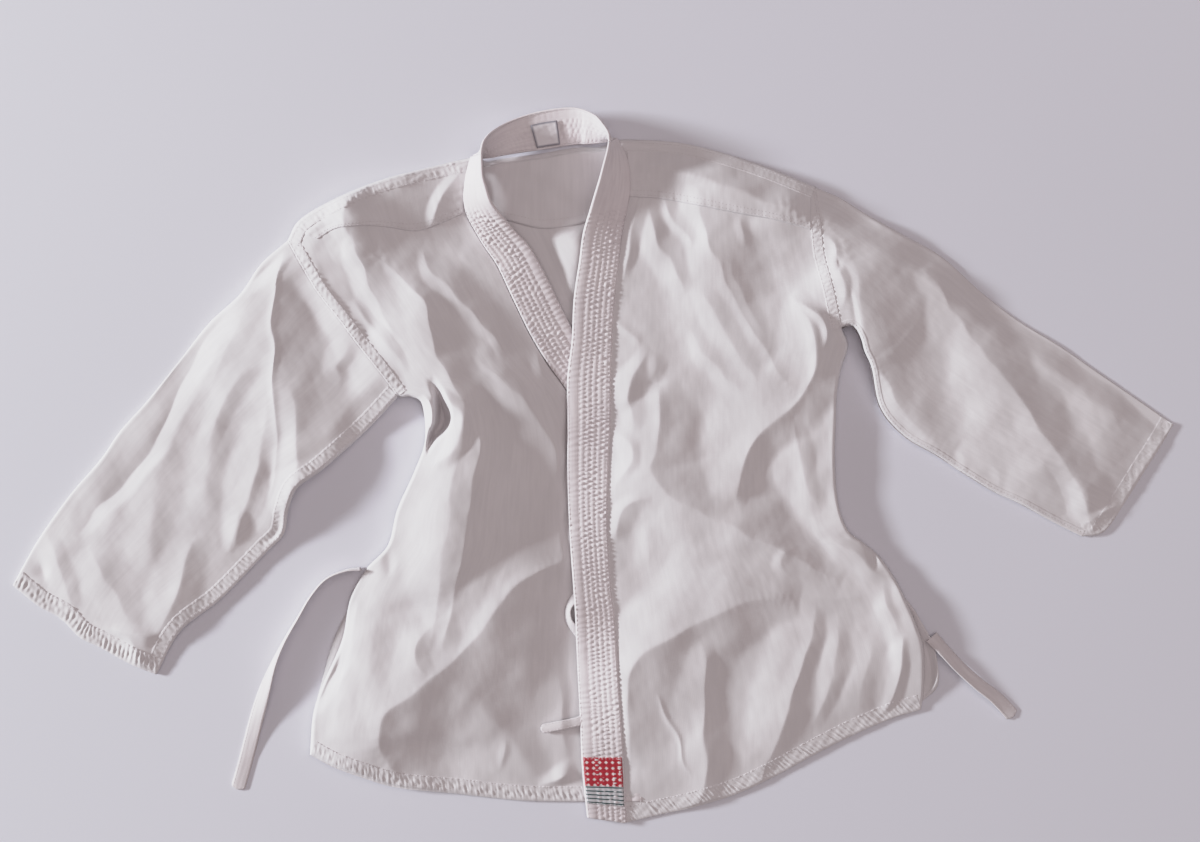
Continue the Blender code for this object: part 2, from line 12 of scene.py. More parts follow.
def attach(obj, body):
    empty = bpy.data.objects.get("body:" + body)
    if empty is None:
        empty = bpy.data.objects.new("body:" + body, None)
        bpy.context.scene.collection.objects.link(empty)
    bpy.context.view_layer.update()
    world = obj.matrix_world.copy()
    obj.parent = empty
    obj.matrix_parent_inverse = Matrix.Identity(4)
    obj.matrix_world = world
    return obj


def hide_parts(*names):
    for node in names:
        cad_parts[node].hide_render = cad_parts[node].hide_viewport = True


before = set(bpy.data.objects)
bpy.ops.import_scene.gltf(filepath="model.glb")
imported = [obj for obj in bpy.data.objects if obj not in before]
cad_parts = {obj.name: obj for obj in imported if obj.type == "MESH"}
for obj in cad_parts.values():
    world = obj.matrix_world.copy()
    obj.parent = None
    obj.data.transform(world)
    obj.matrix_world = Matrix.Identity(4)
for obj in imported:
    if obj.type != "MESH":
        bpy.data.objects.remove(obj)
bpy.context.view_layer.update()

coarse = 1
mm = 0.001  # a millimetre, in metres

sheet = {
    "width": 1200.0,
    "depth": 842.0,
    "viewHeight": 1267.0,  # the camera's
    "cloth": 1.2,  # how thick a panel is, and how far apart two pieces lie
    "gap": 0.3,
}
curves = {"steps": 24, "lengthSteps": 200}  # steps between two points of a table, and to measure a line
ground = {"waves": 7, "stretch": (0.65, 1.5), "phase": 6.3, "highest": 3.2}


# a place on the sheet and its height, as a point: a raised one is set in, because it looks further out
def placed(across, down, up):
    nearer = (1.0 - np.asarray(up) / sheet["viewHeight"]) * mm
    x = (np.asarray(across) - sheet["width"] / 2) * nearer
    y = (sheet["depth"] / 2 - np.asarray(down)) * nearer
    return np.stack([x, y, np.broadcast_to(up, x.shape) * mm], axis=-1)


# from 0 at one value to 1 at another, smoothly
def ease(value, start, end):
    share = np.clip((value - start) / (end - start), 0.0, 1.0)
    return share * share * (3.0 - 2.0 * share)


# the smooth curve through some points, read at shares of its length, which counts the first two columns
def along(points, shares):
    points = np.asarray(points, float)
    padded = np.concatenate([[2 * points[0] - points[1]], points, [2 * points[-1] - points[-2]]])
    t = np.linspace(0.0, 1.0, curves["steps"], endpoint=False)[:, None]
    pieces = []
    for before, start, end, after in zip(padded, padded[1:], padded[2:], padded[3:]):
        bend = 2 * before - 5 * start + 4 * end - after
        twist = 3 * start - before - 3 * end + after
        pieces.append(0.5 * (2 * start + (end - before) * t + bend * t**2 + twist * t**3))
    fine = np.concatenate(pieces + [points[-1:]])
    run = np.concatenate([[0.0], np.cumsum(np.linalg.norm(np.diff(fine[:, :2], axis=0), axis=1))])
    return np.stack([np.interp(np.asarray(shares) * run[-1], run, column) for column in fine.T], axis=-1)


def lengthOf(points):
    line = along(points, np.linspace(0.0, 1.0, curves["lengthSteps"]))
    return float(np.linalg.norm(np.diff(line[:, :2], axis=0), axis=1).sum())


# the way that a line runs, at each of its points
def runOf(line):
    run = np.gradient(line, axis=0)
    return run / np.linalg.norm(run, axis=1)[:, None]


# a line moved sideways: to the sheet's right of a line that runs down it
def beside(line, distance):
    run = runOf(line[:, :2])
    return line[:, :2] + distance * np.stack([run[:, 1], -run[:, 0]], axis=-1)


# the places inside four lines, by row and column
def between(top, bottom, left, right, columns, rows):
    s = columns[None, :, None]
    t = rows[:, None, None]
    corners = ((1 - s) * (1 - t) * top[0] + s * (1 - t) * top[-1]
               + (1 - s) * t * bottom[0] + s * t * bottom[-1])
    return (1 - t) * top[None] + t * bottom[None] + (1 - s) * left[:, None] + s * right[:, None] - corners


# the places between two lines whose ends are joined by straight ones
def strip(top, lower, columns, rows):
    ends = [along([top[end], lower[end]], rows) for end in (0, -1)]
    return between(top, lower, *ends, columns, rows)


# how far each place is from a line, whether it lies to the sheet's left of one that runs down, and the line's
# further columns there, which change smoothly also where two stretches of a bent line are equally near
def nearest(line, across, down):
    start, run = line[:-1], np.diff(line, axis=0)
    toX, toY = across[..., None] - start[:, 0], down[..., None] - start[:, 1]
    share = np.clip((toX * run[:, 0] + toY * run[:, 1]) / (run[:, 0] ** 2 + run[:, 1] ** 2), 0.0, 1.0)
    away = np.hypot(toX - share * run[:, 0], toY - share * run[:, 1])
    distance = away.min(axis=-1)
    closest = away.argmin(axis=-1)[..., None]
    side = np.take_along_axis(run[:, 0] * toY - run[:, 1] * toX, closest, axis=-1)[..., 0]
    blending = 0.6 + 0.1 * distance[..., None]
    weight = np.exp((distance[..., None] - away) / blending)
    weight /= weight.sum(axis=-1, keepdims=True)
    values = [(weight * (start[:, column] + share * run[:, column])).sum(axis=-1)
              for column in range(2, line.shape[1])]
    return distance, side, values


# smooth uneven ground from a few waves of about one length, from -1 to 1
def ripples(across, down, length, seed):
    draw = np.random.default_rng(seed)
    count = ground["waves"]
    turns, stretches = draw.uniform(0, 2 * math.pi, count), draw.uniform(*ground["stretch"], count)
    total = 0.0
    for turn, stretch, phase in zip(turns, stretches, draw.uniform(0, ground["phase"], count)):
        wave = 2 * math.pi / (length * stretch)
        total = total + np.sin(wave * (across * math.cos(turn) + down * math.sin(turn)) + phase)
    return total / ground["highest"]


# the uneven little waves that a row of stitches pulls up along a seam
def puckers(run, pitch, seed):
    unevenPitch = 2.6 * ripples(run, 0.0, 6 * pitch, seed)
    unevenHeight = 0.6 + 0.4 * ripples(run, 0.0, 9 * pitch, seed + 1)
    return np.sin(2 * math.pi * run / pitch + unevenPitch) * unevenHeight


# the jacket's outlines, from above
outline = {
    "shoulderRight": [(288, 240), (301, 219), (339, 197), (382, 180), (420, 170), (472, 158)],
    "shoulderLeft": [(616, 140), (660, 141), (700, 147), (760, 165), (815, 187)],
    "armholeRight": [(288, 240), (300, 262), (318, 292), (340, 320), (362, 349), (385, 378), (398, 396)],
    "armholeLeft": [(815, 187), (821, 228), (824, 254), (832, 283), (838, 310), (842, 328)],
    "sideRight": [(398, 396), (411, 397), (422, 405), (425, 440), (414, 472), (397, 510), (388, 545),
        (366, 569), (350, 598), (342, 640), (322, 686), (313, 715), (310, 754)],
    "sideLeft": [(842, 328), (848, 346), (841, 370), (837, 395), (836, 422), (835, 455), (838, 501),
        (848, 530), (864, 543), (880, 557), (896, 580), (906, 600), (917, 626), (924, 650), (924, 687),
        (921, 709)],
    "hemRight": [(310, 754), (332, 766), (359, 776), (397, 787), (456, 793), (524, 800), (601, 801)],
    "hemLeft": [(627, 822), (660, 814), (692, 807), (735, 794), (776, 775), (811, 756), (848, 737),
        (889, 719), (921, 709)],
    "armOuterRight": [(288, 240), (261, 264), (240, 294), (209, 323), (180, 360), (148, 400), (121, 430),
        (100, 460), (70, 495), (38, 540), (13, 585)],
    "armUnderRight": [(398, 396), (374, 422), (350, 445), (320, 471), (297, 488), (288, 510), (283, 534),
        (265, 553), (221, 598), (180, 631), (156, 674)],
    "cuffRight": [(13, 585), (39, 606), (61, 618), (80, 637), (100, 647), (131, 664), (156, 674)],
    "armOuterLeft": [(815, 187), (840, 198), (866, 214), (904, 235), (942, 257), (981, 292), (1019, 321),
        (1060, 346), (1102, 375), (1140, 401), (1173, 424)],
    "armUnderLeft": [(842, 328), (852, 326), (860, 338), (864, 352), (871, 368), (880, 408), (904, 436),
        (936, 455), (965, 474), (993, 491), (1019, 503), (1054, 522), (1082, 536)],
    "cuffLeft": [(1173, 424), (1159, 448), (1146, 468), (1124, 503), (1104, 531), (1082, 536)],
    "neckBack": [(472, 158), (484, 162.5), (503, 159), (540, 154), (575, 148), (603, 147), (616, 140)],
    "ventRight": [(366, 571), (347, 607), (332, 639), (320, 680), (312, 715), (312, 748)],
    "ventLeft": [(900, 590), (911, 602), (930, 633), (938, 655), (940, 686), (922, 704)],
    "hemBack": [(312, 750), (359, 771), (397, 782), (456, 788), (524, 795), (601, 796), (660, 806),
        (692, 802), (735, 789), (776, 770), (811, 751), (848, 732), (889, 714), (922, 704)],
    "yokeLowerRight": [(318, 239), (335, 229), (352, 226.5), (372, 226), (392, 228), (410, 231), (424, 230),
        (440, 224), (463, 214)],
    "yokeLowerLeft": [(629, 197), (660, 199), (700, 206), (740, 214), (775, 220), (811, 230)],
    "yokeBackTop": [(480, 167), (503, 163), (540, 158), (575, 152), (609, 150)],
    "yokeBackLower": [(474, 212), (508, 221), (545, 229), (585, 223), (612, 212)],
}

# Each ridge runs through points (across, down, rise). Then come its width to the sheet's left of a line that
# runs down, its width to the right, and how round its crest is. Where every point gives its own two widths
# after its rise, only the last of these follows. A trough has a negative rise.
rightFolds = {
    "body": ([(326, 226, 3, 100, 110), (350, 258, 8, 120, 110), (385, 300, 9, 160, 110),
        (425, 345, 9, 180, 110), (448, 400, 9, 200, 120), (452, 470, 8, 200, 120), (448, 560, 5, 170, 120),
        (438, 620, 0, 120, 100)], 8),
    "main crest": ([(370, 250, 0, 16, 22), (386, 264, 4, 24, 30), (403, 280, 7, 34, 38),
        (420, 298, 9, 42, 46), (428, 312, 9, 72, 60), (432, 335, 9, 92, 80), (437, 358, 9, 98, 96),
        (449, 378, 9, 90, 104), (460, 398, 9, 80, 106), (465, 420, 9, 76, 106), (460, 450, 9, 80, 106),
        (452, 475, 9, 90, 106), (450, 515, 9, 100, 106), (443, 550, 8, 100, 90), (438, 590, 7, 68, 60),
        (434, 630, 3, 60, 40), (430, 660, 0, 40, 30)], 1.8),
    "main crest steep": ([(408, 285, 0, 20, 16), (424, 303, 3, 50, 20), (431, 330, 4, 70, 26),
        (437, 358, 4.5, 74, 30), (452, 382, 4.5, 66, 34), (466, 410, 4, 48, 36), (472, 432, 0, 24, 36)], 1.5),
    "strip edge": ([(464, 402, 0, 10, 20), (474, 425, 3, 26, 28), (478, 446, 6, 48, 36),
        (475, 470, 8, 66, 44), (470, 497, 8.5, 74, 50), (465, 530, 8, 72, 48), (460, 566, 7, 66, 36),
        (454, 602, 5.5, 50, 26), (447, 632, 3, 20, 18), (440, 652, 0, 12, 10)], 1.5),
    "side lift": ([(410, 455, 0, 10, 60), (404, 490, 1.4, 14, 110), (396, 530, 2, 18, 150),
        (384, 568, 2.4, 24, 150), (370, 610, 2.2, 30, 120), (356, 655, 2, 32, 100), (340, 700, 1.6, 28, 90),
        (332, 745, 0, 18, 60)], 4),
    "second crest": ([(420, 248, 0), (427, 260, 1.6), (437, 275, 2.8), (452, 291, 3.2), (470, 309, 3.2),
        (489, 332, 2.6), (508, 354, 0)], 12, 24, 1.5),
    "chest crest": ([(474, 352, 0, 12, 20), (486, 366, 3, 16, 30), (503, 380, 5, 20, 36),
        (522, 398, 6, 24, 36), (541, 423, 6, 26, 30), (554, 450, 5, 24, 20), (556, 472, 3, 20, 12),
        (546, 494, 0, 16, 10)], 3),
    "by the lapel": ([(532, 348, 0), (541, 368, 2.5), (547, 394, 0)], 10, 8, 3),
    "armhole roll": ([(303, 246, 0), (316, 268, 3.5), (333, 296, 4), (352, 322, 2.5),
        (366, 340, 0)], 10, 26, 3),
    "yoke fold": ([(350, 229, 0), (356, 248, 3.2), (364, 272, 4.4), (376, 298, 4.4), (388, 322, 2.5),
        (395, 340, 0)], 16, 20, 2),
    "armhole dimple": ([(352, 300, 0), (362, 316, 2), (378, 334, 2.6), (392, 350, 2),
        (404, 374, 0)], 12, 9, 2.5),
    "armpit edge": ([(423, 393, 0, 6, 4), (429, 402, 4, 8, 4), (432, 415, 7, 10, 4), (430, 430, 6, 9, 4),
        (424, 446, 0, 6, 4)], 0.8),
    "armpit mouth": ([(431, 379, 0, 3, 4), (438, 395, -14, 6, 6), (443, 412, -28, 8, 9),
        (442, 426, -28, 8, 8), (434, 437, -20, 7, 6), (427, 450, 0, 4, 4)], 0.6),
    "armpit lip": ([(434, 384, 0), (450, 403, 3), (461, 416, 4), (460, 434, 4.2), (451, 454, 3),
        (432, 468, 0)], 9, 9, 2.5),
    "collar fold": ([(462, 166, 0), (453, 182, 3), (443, 198, 4.5), (434, 214, 4),
        (429, 230, 0)], 10, 30, 1.2),
    "shoulder ridge": ([(298, 250, 2, 20, 40), (308, 236, 7, 40, 60), (322, 222, 12, 70, 70),
        (338, 209, 15, 90, 76), (354, 200, 15, 96, 72), (382, 189, 10, 84, 56), (410, 183, 5, 66, 36),
        (436, 180, 1.5, 44, 22), (458, 174, 0, 24, 8)], 1.5),
    "long crest": ([(572, 556, 5, 26, 26), (541, 568, 9, 32, 46), (517, 586, 11.5, 36, 68),
        (499, 607, 12.5, 38, 86), (477, 634, 13.5, 40, 98), (455, 657, 15, 54, 100), (428, 680, 17.5, 90, 92),
        (402, 700, 19, 116, 88), (386, 717, 19, 120, 86), (379, 738, 17, 116, 86), (386, 762, 11, 96, 70),
        (400, 784, 6, 60, 50)], 2),
    "hook": ([(440, 616, 0), (425, 634, 2.5), (416, 650, 3.5), (419, 665, 3), (426, 677, 0)], 40, 16, 1.5),
    "low front mound": ([(470, 700, 0), (490, 716, 1.6), (512, 742, 2.4), (530, 768, 1.8),
        (536, 790, 0)], 34, 24, 4),
    "valley edge": ([(556, 650, 0), (560, 700, 1.4), (566, 745, 1.6), (570, 782, 0)], 24, 12, 3),
    "small crease": ([(506, 740, 0), (503, 754, 0.9), (499, 769, 0)], 6, 5, 1.5),
    "hem flap": ([(538, 787, 0), (552, 783, 3), (563, 777, 5), (572, 771, 4), (583, 763, 0)], 6, 14, 1.5),
    "side crease": ([(391, 548, 0), (389, 562, -1.5), (387, 580, 0)], 5, 4, 1.5),
    "front streak": ([(384, 600, 0), (376, 628, 1.4), (372, 656, 1.4), (376, 690, 0)], 22, 18, 5),
    "front streak low": ([(352, 690, 0), (350, 715, 1), (356, 745, 0)], 18, 14, 4),
    "vent line": ([(350, 600, 0), (346, 622, -2.2), (343, 645, -2.6), (334, 668, -2.6), (325, 690, -2.2),
        (319, 702, -1.6), (315, 722, 0)], 3, 9, 0.5),
    "vent drape": ([(360, 592, 0), (352, 622, 1.2), (343, 655, 1.5), (337, 700, 1.2),
        (334, 744, 0)], 16, 20, 3),
    "sleeve edge": ([(284, 244, 0, 20, 14), (277, 272, 5, 50, 28), (273, 290, 9, 90, 36),
        (272, 320, 12.5, 120, 48), (272, 350, 13, 120, 60), (273, 385, 10.5, 90, 74), (274, 405, 7, 60, 70),
        (276, 430, 2, 30, 50), (276, 446, 0, 20, 20)], 1),
    "sleeve edge line": ([(284, 258, 0), (273, 290, 0.7), (272, 340, 0.7), (273, 390, 0.7), (275, 430, 0.7),
        (275, 475, 0.6), (268, 500, 0)], 3, 4, 0.6),
    "sleeve strip": ([(288, 380, 0, 12, 30), (293, 400, 3.5, 28, 50), (296, 430, 6.5, 32, 56),
        (297, 460, 8.5, 30, 54), (293, 482, 5, 20, 30), (286, 505, 3, 16, 14), (278, 530, 0, 12, 8)], 1.5),
    "underarm lift": ([(374, 422, 0, 18, 10), (350, 445, 0.6, 18, 10), (320, 471, 4.5, 18, 10),
        (299, 487, 9, 24, 10), (288, 510, 7.5, 34, 10), (283, 534, 3, 36, 10), (265, 553, 1, 26, 10),
        (221, 598, 0.5, 20, 10), (180, 631, 0.5, 18, 10), (160, 660, 0, 14, 10)], 1.5),
    "armhole ridge": ([(298, 258, 0, 12, 10), (318, 292, 3, 14, 12), (340, 320, 3, 16, 12),
        (362, 349, 3.6, 24, 12), (385, 378, 3, 28, 12), (400, 398, 0.5, 20, 12)], 3),
    "sleeve head": ([(352, 340, 0), (342, 354, 2), (336, 368, 2), (341, 386, 0)], 14, 10, 2),
    "sleeve wedge": ([(286, 246, 0), (268, 264, -3.6), (252, 282, -3.6), (238, 299, 0)], 15, 10, 0.8),
    "sleeve outer trough": ([(236, 300, 0, 10, 8), (214, 326, -2.5, 18, 12), (200, 348, -3.6, 24, 15),
        (186, 378, -4.2, 27, 15), (170, 412, -4.2, 28, 15), (156, 440, -4, 28, 14), (136, 470, -3.6, 27, 13),
        (112, 496, -3.2, 24, 12), (92, 516, -2.4, 20, 10), (74, 536, 0, 12, 8)], 0.6),
    "sleeve streak": ([(262, 282, 0), (246, 307, 1.6), (232, 334, 2), (220, 362, 1.8),
        (209, 394, 0)], 26, 20, 2.5),
    "sleeve streak low": ([(258, 360, 0), (240, 378, 2), (226, 398, 2.4), (214, 425, 1.6),
        (206, 452, 0)], 16, 14, 3),
    "sleeve foot": ([(266, 392, 0, 14, 8), (266, 420, 2, 22, 10), (262, 445, 3.4, 24, 14),
        (254, 475, 4.2, 24, 18), (246, 505, 4, 22, 18), (240, 530, 2.6, 18, 14), (236, 552, 0, 12, 8)], 2),
    "sleeve wrinkle": ([(282, 509, 0), (273, 528, -2), (257, 547, 0)], 5, 4, 1.5),
    "cuff ridge outer": ([(44, 527, 0), (54, 552, 1.4), (63, 578, 1.8), (70, 602, 1.3),
        (74, 618, 0)], 18, 13, 1.5),
    "cuff hollow": ([(38, 556, 0), (41, 571, -2), (45, 586, 0)], 9, 8, 2),
    "cuff valley": ([(86, 546, 0), (98, 566, 2.6), (112, 590, 3.2), (126, 615, 2.2),
        (132, 634, 0)], 24, 30, 2),
    "cuff ridge": ([(196, 532, 0), (186, 560, 3.8), (178, 590, 4.8), (166, 620, 3.4),
        (154, 645, 0)], 28, 24, 2),
    "cuff ridge inner": ([(240, 503, 0), (236, 530, 2), (228, 553, 0)], 13, 10, 2),
    "cuff roll": ([(94, 620, 0), (120, 631, 2), (146, 637, 2.4), (162, 633, 0)], 9, 7, 1.5),
    "mid long": ([(176, 440, 0), (160, 474, 1.8), (150, 510, 2), (152, 550, 1.5), (160, 585, 0)], 40, 28, 5),
    "mid long outer": ([(128, 500, 0), (112, 524, 1.4), (100, 548, 0)], 20, 18, 4),
    "sleeve middle": ([(222, 420, 0), (210, 450, 1.6), (206, 486, 1.6), (208, 520, 0)], 22, 18, 4),
    "underarm low": ([(398, 396, 0), (386, 409, -2.5), (366, 430, -3), (350, 445, -2),
        (334, 459, 0)], 30, 10, 3),
    "cuff corner": ([(114, 626, 0), (127, 641, 3.5), (139, 657, 3.5), (148, 674, 0)], 10, 30, 1.5),
    "yoke slope": ([(374, 186, 0), (357, 196, 4), (345, 210, 7.5), (345, 227, 5), (353, 246, 0)], 20, 84, 2),
    "lapel gap": ([(573, 395, 0), (571, 415, -3), (569, 470, -3.2), (569, 530, -3),
        (572, 560, 0)], 6, 5, 0.8),
}
leftFolds = {
    "shoulder roll": ([(636, 168, 0, 24, 14), (656, 170, 5, 34, 18), (686, 174, 11, 50, 24),
        (720, 184, 15, 62, 28), (760, 198, 16, 68, 32), (796, 214, 13, 68, 34), (818, 230, 8, 60, 36),
        (836, 247, 3.5, 36, 40), (848, 264, 0, 20, 30)], 3),
    "shoulder stripe": ([(690, 200, 0), (708, 199, 1.8), (726, 203, 2.4), (745, 210, 1.8),
        (764, 214, 0)], 12, 20, 1.5),
    "shoulder dent": ([(738, 216, 0), (741, 230, 1.2), (744, 248, 0)], 7, 9, 1.5),
    "lapel fold": ([(645, 188, 0), (639, 208, 2), (631, 234, 2.5), (626, 262, 2), (624, 285, 0)], 8, 9, 1),
    "pleat": ([(645, 194, 0), (650, 214, 2.6), (658, 238, 3.8), (668, 257, 3.8), (678, 276, 2.6),
        (686, 292, 0)], 20, 15, 1.2),
    "pleat inner": ([(656, 186, 0), (662, 200, 1.8), (672, 217, 2.3), (684, 236, 1.6),
        (691, 248, 0)], 7, 12, 1),
    "long fold": ([(700, 186, 0, 12, 8), (700, 214, 4.5, 24, 26), (709, 236, 7.5, 42, 36),
        (716, 255, 8.8, 54, 41), (723, 275, 9.4, 66, 43), (733, 296, 9.4, 74, 43), (746, 318, 9, 74, 42),
        (763, 345, 8, 66, 38), (782, 374, 5, 46, 26), (796, 396, 0, 26, 14)], 1.5),
    "long fold stripe": ([(726, 256, 0), (738, 283, 1), (750, 308, 1), (768, 336, 0)], 7, 9, 2),
    "chest streak": ([(698, 282, 0), (712, 310, 2), (726, 336, 2.2), (742, 362, 1.6),
        (757, 384, 0)], 15, 16, 2),
    "chest streak low": ([(688, 326, 0), (704, 350, 1.5), (722, 372, 1.6), (744, 398, 0)], 13, 13, 2),
    "side sweep": ([(790, 292, 0, 12, 10), (803, 310, 4, 24, 18), (812, 331, 6.5, 34, 22),
        (815, 352, 8, 38, 25), (811, 376, 8.8, 42, 27), (799, 400, 10, 54, 29), (776, 420, 10, 74, 27),
        (756, 440, 9, 62, 23), (743, 463, 6.5, 44, 20), (737, 484, 4, 28, 14), (733, 502, 0, 16, 10)], 2),
    "side pleat": ([(794, 418, 0), (797, 440, 2.8), (799, 462, 3.2), (806, 484, 2.4),
        (819, 509, 0)], 30, 16, 1.5),
    "side edge": ([(843, 366, 0, 16, 10), (838, 392, 5, 28, 10), (837, 422, 7.5, 38, 10),
        (836, 455, 8.5, 42, 10), (839, 501, 8.5, 42, 10), (849, 529, 7, 36, 10), (864, 542, 5.5, 32, 10),
        (880, 556, 5.5, 32, 10), (897, 580, 6.5, 34, 10), (907, 601, 8, 38, 10), (918, 626, 8, 38, 10),
        (925, 651, 7.5, 34, 10), (925, 687, 4, 26, 10), (922, 706, 0, 14, 10)], 1.5),
    "armpit crease": ([(800, 300, 0), (814, 311, 2.5), (826, 322, 3.2), (829, 336, 3),
        (826, 352, 0)], 7, 6, 1),
    "pocket": ([(654, 350, 0), (642, 366, 3), (630, 383, 4.5), (627, 400, 4.2), (634, 415, 2),
        (641, 426, 0)], 16, 17, 1.5),
    "pocket knob": ([(657, 352, 0), (656, 366, 1.6), (650, 380, 0)], 5, 8, 1.5),
    "pocket line": ([(613, 316, 0), (628, 332, 1.2), (646, 352, 0)], 6, 6, 2),
    "valley crest": ([(657, 382, 0, 14, 14), (659, 400, 5, 20, 28), (659, 425, 8.5, 40, 44),
        (656, 450, 10, 46, 53), (651, 472, 11, 50, 60), (668, 493, 12, 60, 58), (700, 514, 13, 84, 56),
        (740, 531, 12.5, 84, 50), (770, 545, 10.5, 66, 42), (790, 556, 7.5, 48, 30), (815, 568, 4, 34, 20),
        (842, 578, 0, 20, 12)], 1.8),
    "lapel tuck": ([(612, 428, 0), (627, 441, 1.3), (634, 456, 1.6), (628, 470, 1.3),
        (612, 488, 0)], 16, 8, 1.5),
    "crescent": ([(652, 499, 0), (634, 502, 2), (622, 513, 2.7), (617, 529, 2), (619, 543, 0)], 10, 14, 1.2),
    "crescent low": ([(640, 522, 0), (647, 536, 1.2), (651, 552, 1.2), (644, 572, 0)], 15, 16, 2),
    "low wedge": ([(800, 601, 0, 14, 12), (770, 598, 5, 30, 34), (740, 604, 8.5, 44, 46),
        (700, 621, 11.5, 56, 60), (665, 639, 13, 50, 70), (642, 656, 13.5, 40, 84), (632, 675, 12.5, 34, 90),
        (629, 700, 10, 26, 84), (630, 732, 5.5, 16, 62), (631, 768, 0, 10, 34)], 2),
    "hem crest": ([(703, 640, 0, 8, 8), (704, 662, 2.4, 16, 12), (705, 690, 4.2, 30, 14),
        (706, 720, 5.4, 40, 18), (707, 750, 5.8, 46, 20), (706, 772, 5, 42, 20), (703, 792, 3, 30, 18)], 1.5),
    "thin crease": ([(656, 692, 0), (665, 712, 0.8), (678, 745, 0.9), (691, 779, 0)], 3, 2.5, 0.8),
    "hem drape": ([(816, 604, 0, 16, 8), (811, 630, 2.6, 28, 14), (804, 655, 4.6, 38, 18),
        (796, 685, 5.8, 42, 20), (787, 712, 5.8, 42, 20), (779, 738, 4.2, 38, 16),
        (771, 758, 2, 28, 12)], 1.5),
    "hem drape inner": ([(838, 616, 0), (840, 645, 2), (832, 672, 2.5), (822, 700, 2),
        (812, 730, 0)], 16, 15, 2),
    "vent drape": ([(868, 630, 0), (870, 655, 1.6), (864, 690, 2), (855, 717, 0)], 22, 18, 2),
    "vent crease": ([(905, 634, 0), (904, 655, 2.4), (898, 682, 3.2), (889, 704, 2),
        (882, 718, 0)], 20, 8, 1),
    "belly line": ([(690, 560, 0), (730, 580, 1.6), (780, 593, 2.2), (840, 598, 2.2),
        (892, 592, 0)], 26, 34, 2),
    "side crescent": ([(802, 547, 0), (788, 554, 1.2), (783, 565, 1.3), (790, 578, 0)], 10, 13, 1),
    "vent top": ([(880, 588, 0), (888, 606, 2), (898, 632, 0)], 14, 8, 1.5),
    "side seam": ([(862, 541, 0), (872, 552, -2.5), (880, 570, 0)], 5, 7, 1.2),
    "side top": ([(820, 540, 0), (842, 548, 2), (862, 560, 2.4), (886, 582, 0)], 14, 10, 2),
    "sleeve crest": ([(820, 214, 0, 30, 60), (838, 236, 6, 84, 80), (854, 262, 14, 116, 92),
        (860, 300, 18, 116, 96), (864, 335, 18, 96, 94), (873, 360, 15, 62, 88), (887, 385, 9.5, 34, 66),
        (902, 408, 7, 28, 54), (922, 430, 4, 20, 40), (955, 453, 0, 12, 30)], 3),
    "sleeve head line": ([(849, 286, 0), (853, 306, -0.8), (857, 330, -0.8), (860, 350, 0)], 4, 4, 1),
    "sleeve head dent": ([(836, 252, 0), (842, 262, -2), (841, 274, 0)], 5, 5, 1.2),
    "sleeve head fold": ([(826, 236, 0), (838, 254, 1.6), (844, 282, 2), (842, 312, 0)], 8, 6, 1.5),
    "sleeve long crest": ([(924, 266, 0, 10, 16), (940, 290, 3.6, 18, 28), (960, 320, 6.4, 38, 34),
        (985, 355, 8.4, 64, 34), (1010, 386, 9, 80, 33), (1032, 417, 9, 84, 32), (1052, 447, 8, 76, 31),
        (1070, 471, 6, 58, 28), (1088, 494, 4, 38, 24), (1106, 518, 0, 18, 16)], 2),
    "sleeve outer crest": ([(1008, 320, 0), (1050, 368, 0.8), (1100, 404, 1), (1138, 442, 0)], 18, 24, 2),
    "sleeve fork": ([(919, 316, 0), (908, 336, 0.8), (897, 350, 0.8), (875, 359, 0)], 7, 8, 1.5),
    "cuff hollow": ([(1044, 464, 0), (1057, 484, -3.2), (1064, 503, -3.4), (1066, 520, -2),
        (1064, 532, 0)], 52, 26, 1.5),
    "cuff ridge": ([(1074, 478, 0), (1084, 496, 2.5), (1088, 516, 2), (1086, 532, 0)], 16, 12, 2),
    "underarm tuck": ([(990, 462, 0), (998, 476, 0.6), (996, 490, 0)], 8, 7, 2),
    "underarm tuck outer": ([(956, 446, 0), (964, 460, 0.5), (962, 474, 0)], 8, 7, 2),
    "cuff corner": ([(1120, 506, 0), (1104, 514, 2.4), (1084, 527, 0)], 8, 8, 1.5),
}

lay = {
    "lowest": 1.5,  # a front's underside over the floor where it has no folds, and the least it may be
    "floorClear": 0.3,
    "usualRise": 5.0,
    "edgeStep": 4.0,  # the jacket's own edge is drawn in steps, and this near it counts as on it
    "edgeMiss": 0.25,
    "edgeWall": 0.5,  # the cloth stands up at the edge, and is round above this share of its height
    "edgeShare": 0.85,
    "edgeRound": 2.5,
    "sideFlat": 30.0,  # it lies lower this near the edge, down to this share
    "sideShare": 0.5,
    "hemFlat": 60.0,  # and this near a hem or cuff
    "hemShare": 0.2,
    "sleeveFlat": 26.0,  # and this near a sleeve's outer edge, by so much on the right and on the left
    "sleeveDrop": (0.5, 3.8),
    "foldShare": 1.05,  # how high folds stand and how round their crests are, of the tables' values
    "crestShare": 0.7,
    "footRound": 0.16,  # the share of a side's width over which its foot is round
    "foldSteps": 44,
    "stray": (46.0, 2.2),  # how a fold strays from its drawn line: wave length and distance
    "overlapRise": 5.8,  # the left front over the right lapel's hidden end
    "overlapEnds": (655.0, 705.0),
    "pressedFlat": (490.0, 575.0),  # the right front comes down flat before it goes under the left lapel
    "unfolded": (560.0, 582.0),
    "swell": [(90.0, 0.9), (34.0, 0.2), (13.0, 0.06)],  # uneven ground: wave length and height
    "creases": [(74.0, 0.4), (38.0, 0.12)],  # faint sharp creases: distance between them and depth
    "creaseRound": 0.06,
}


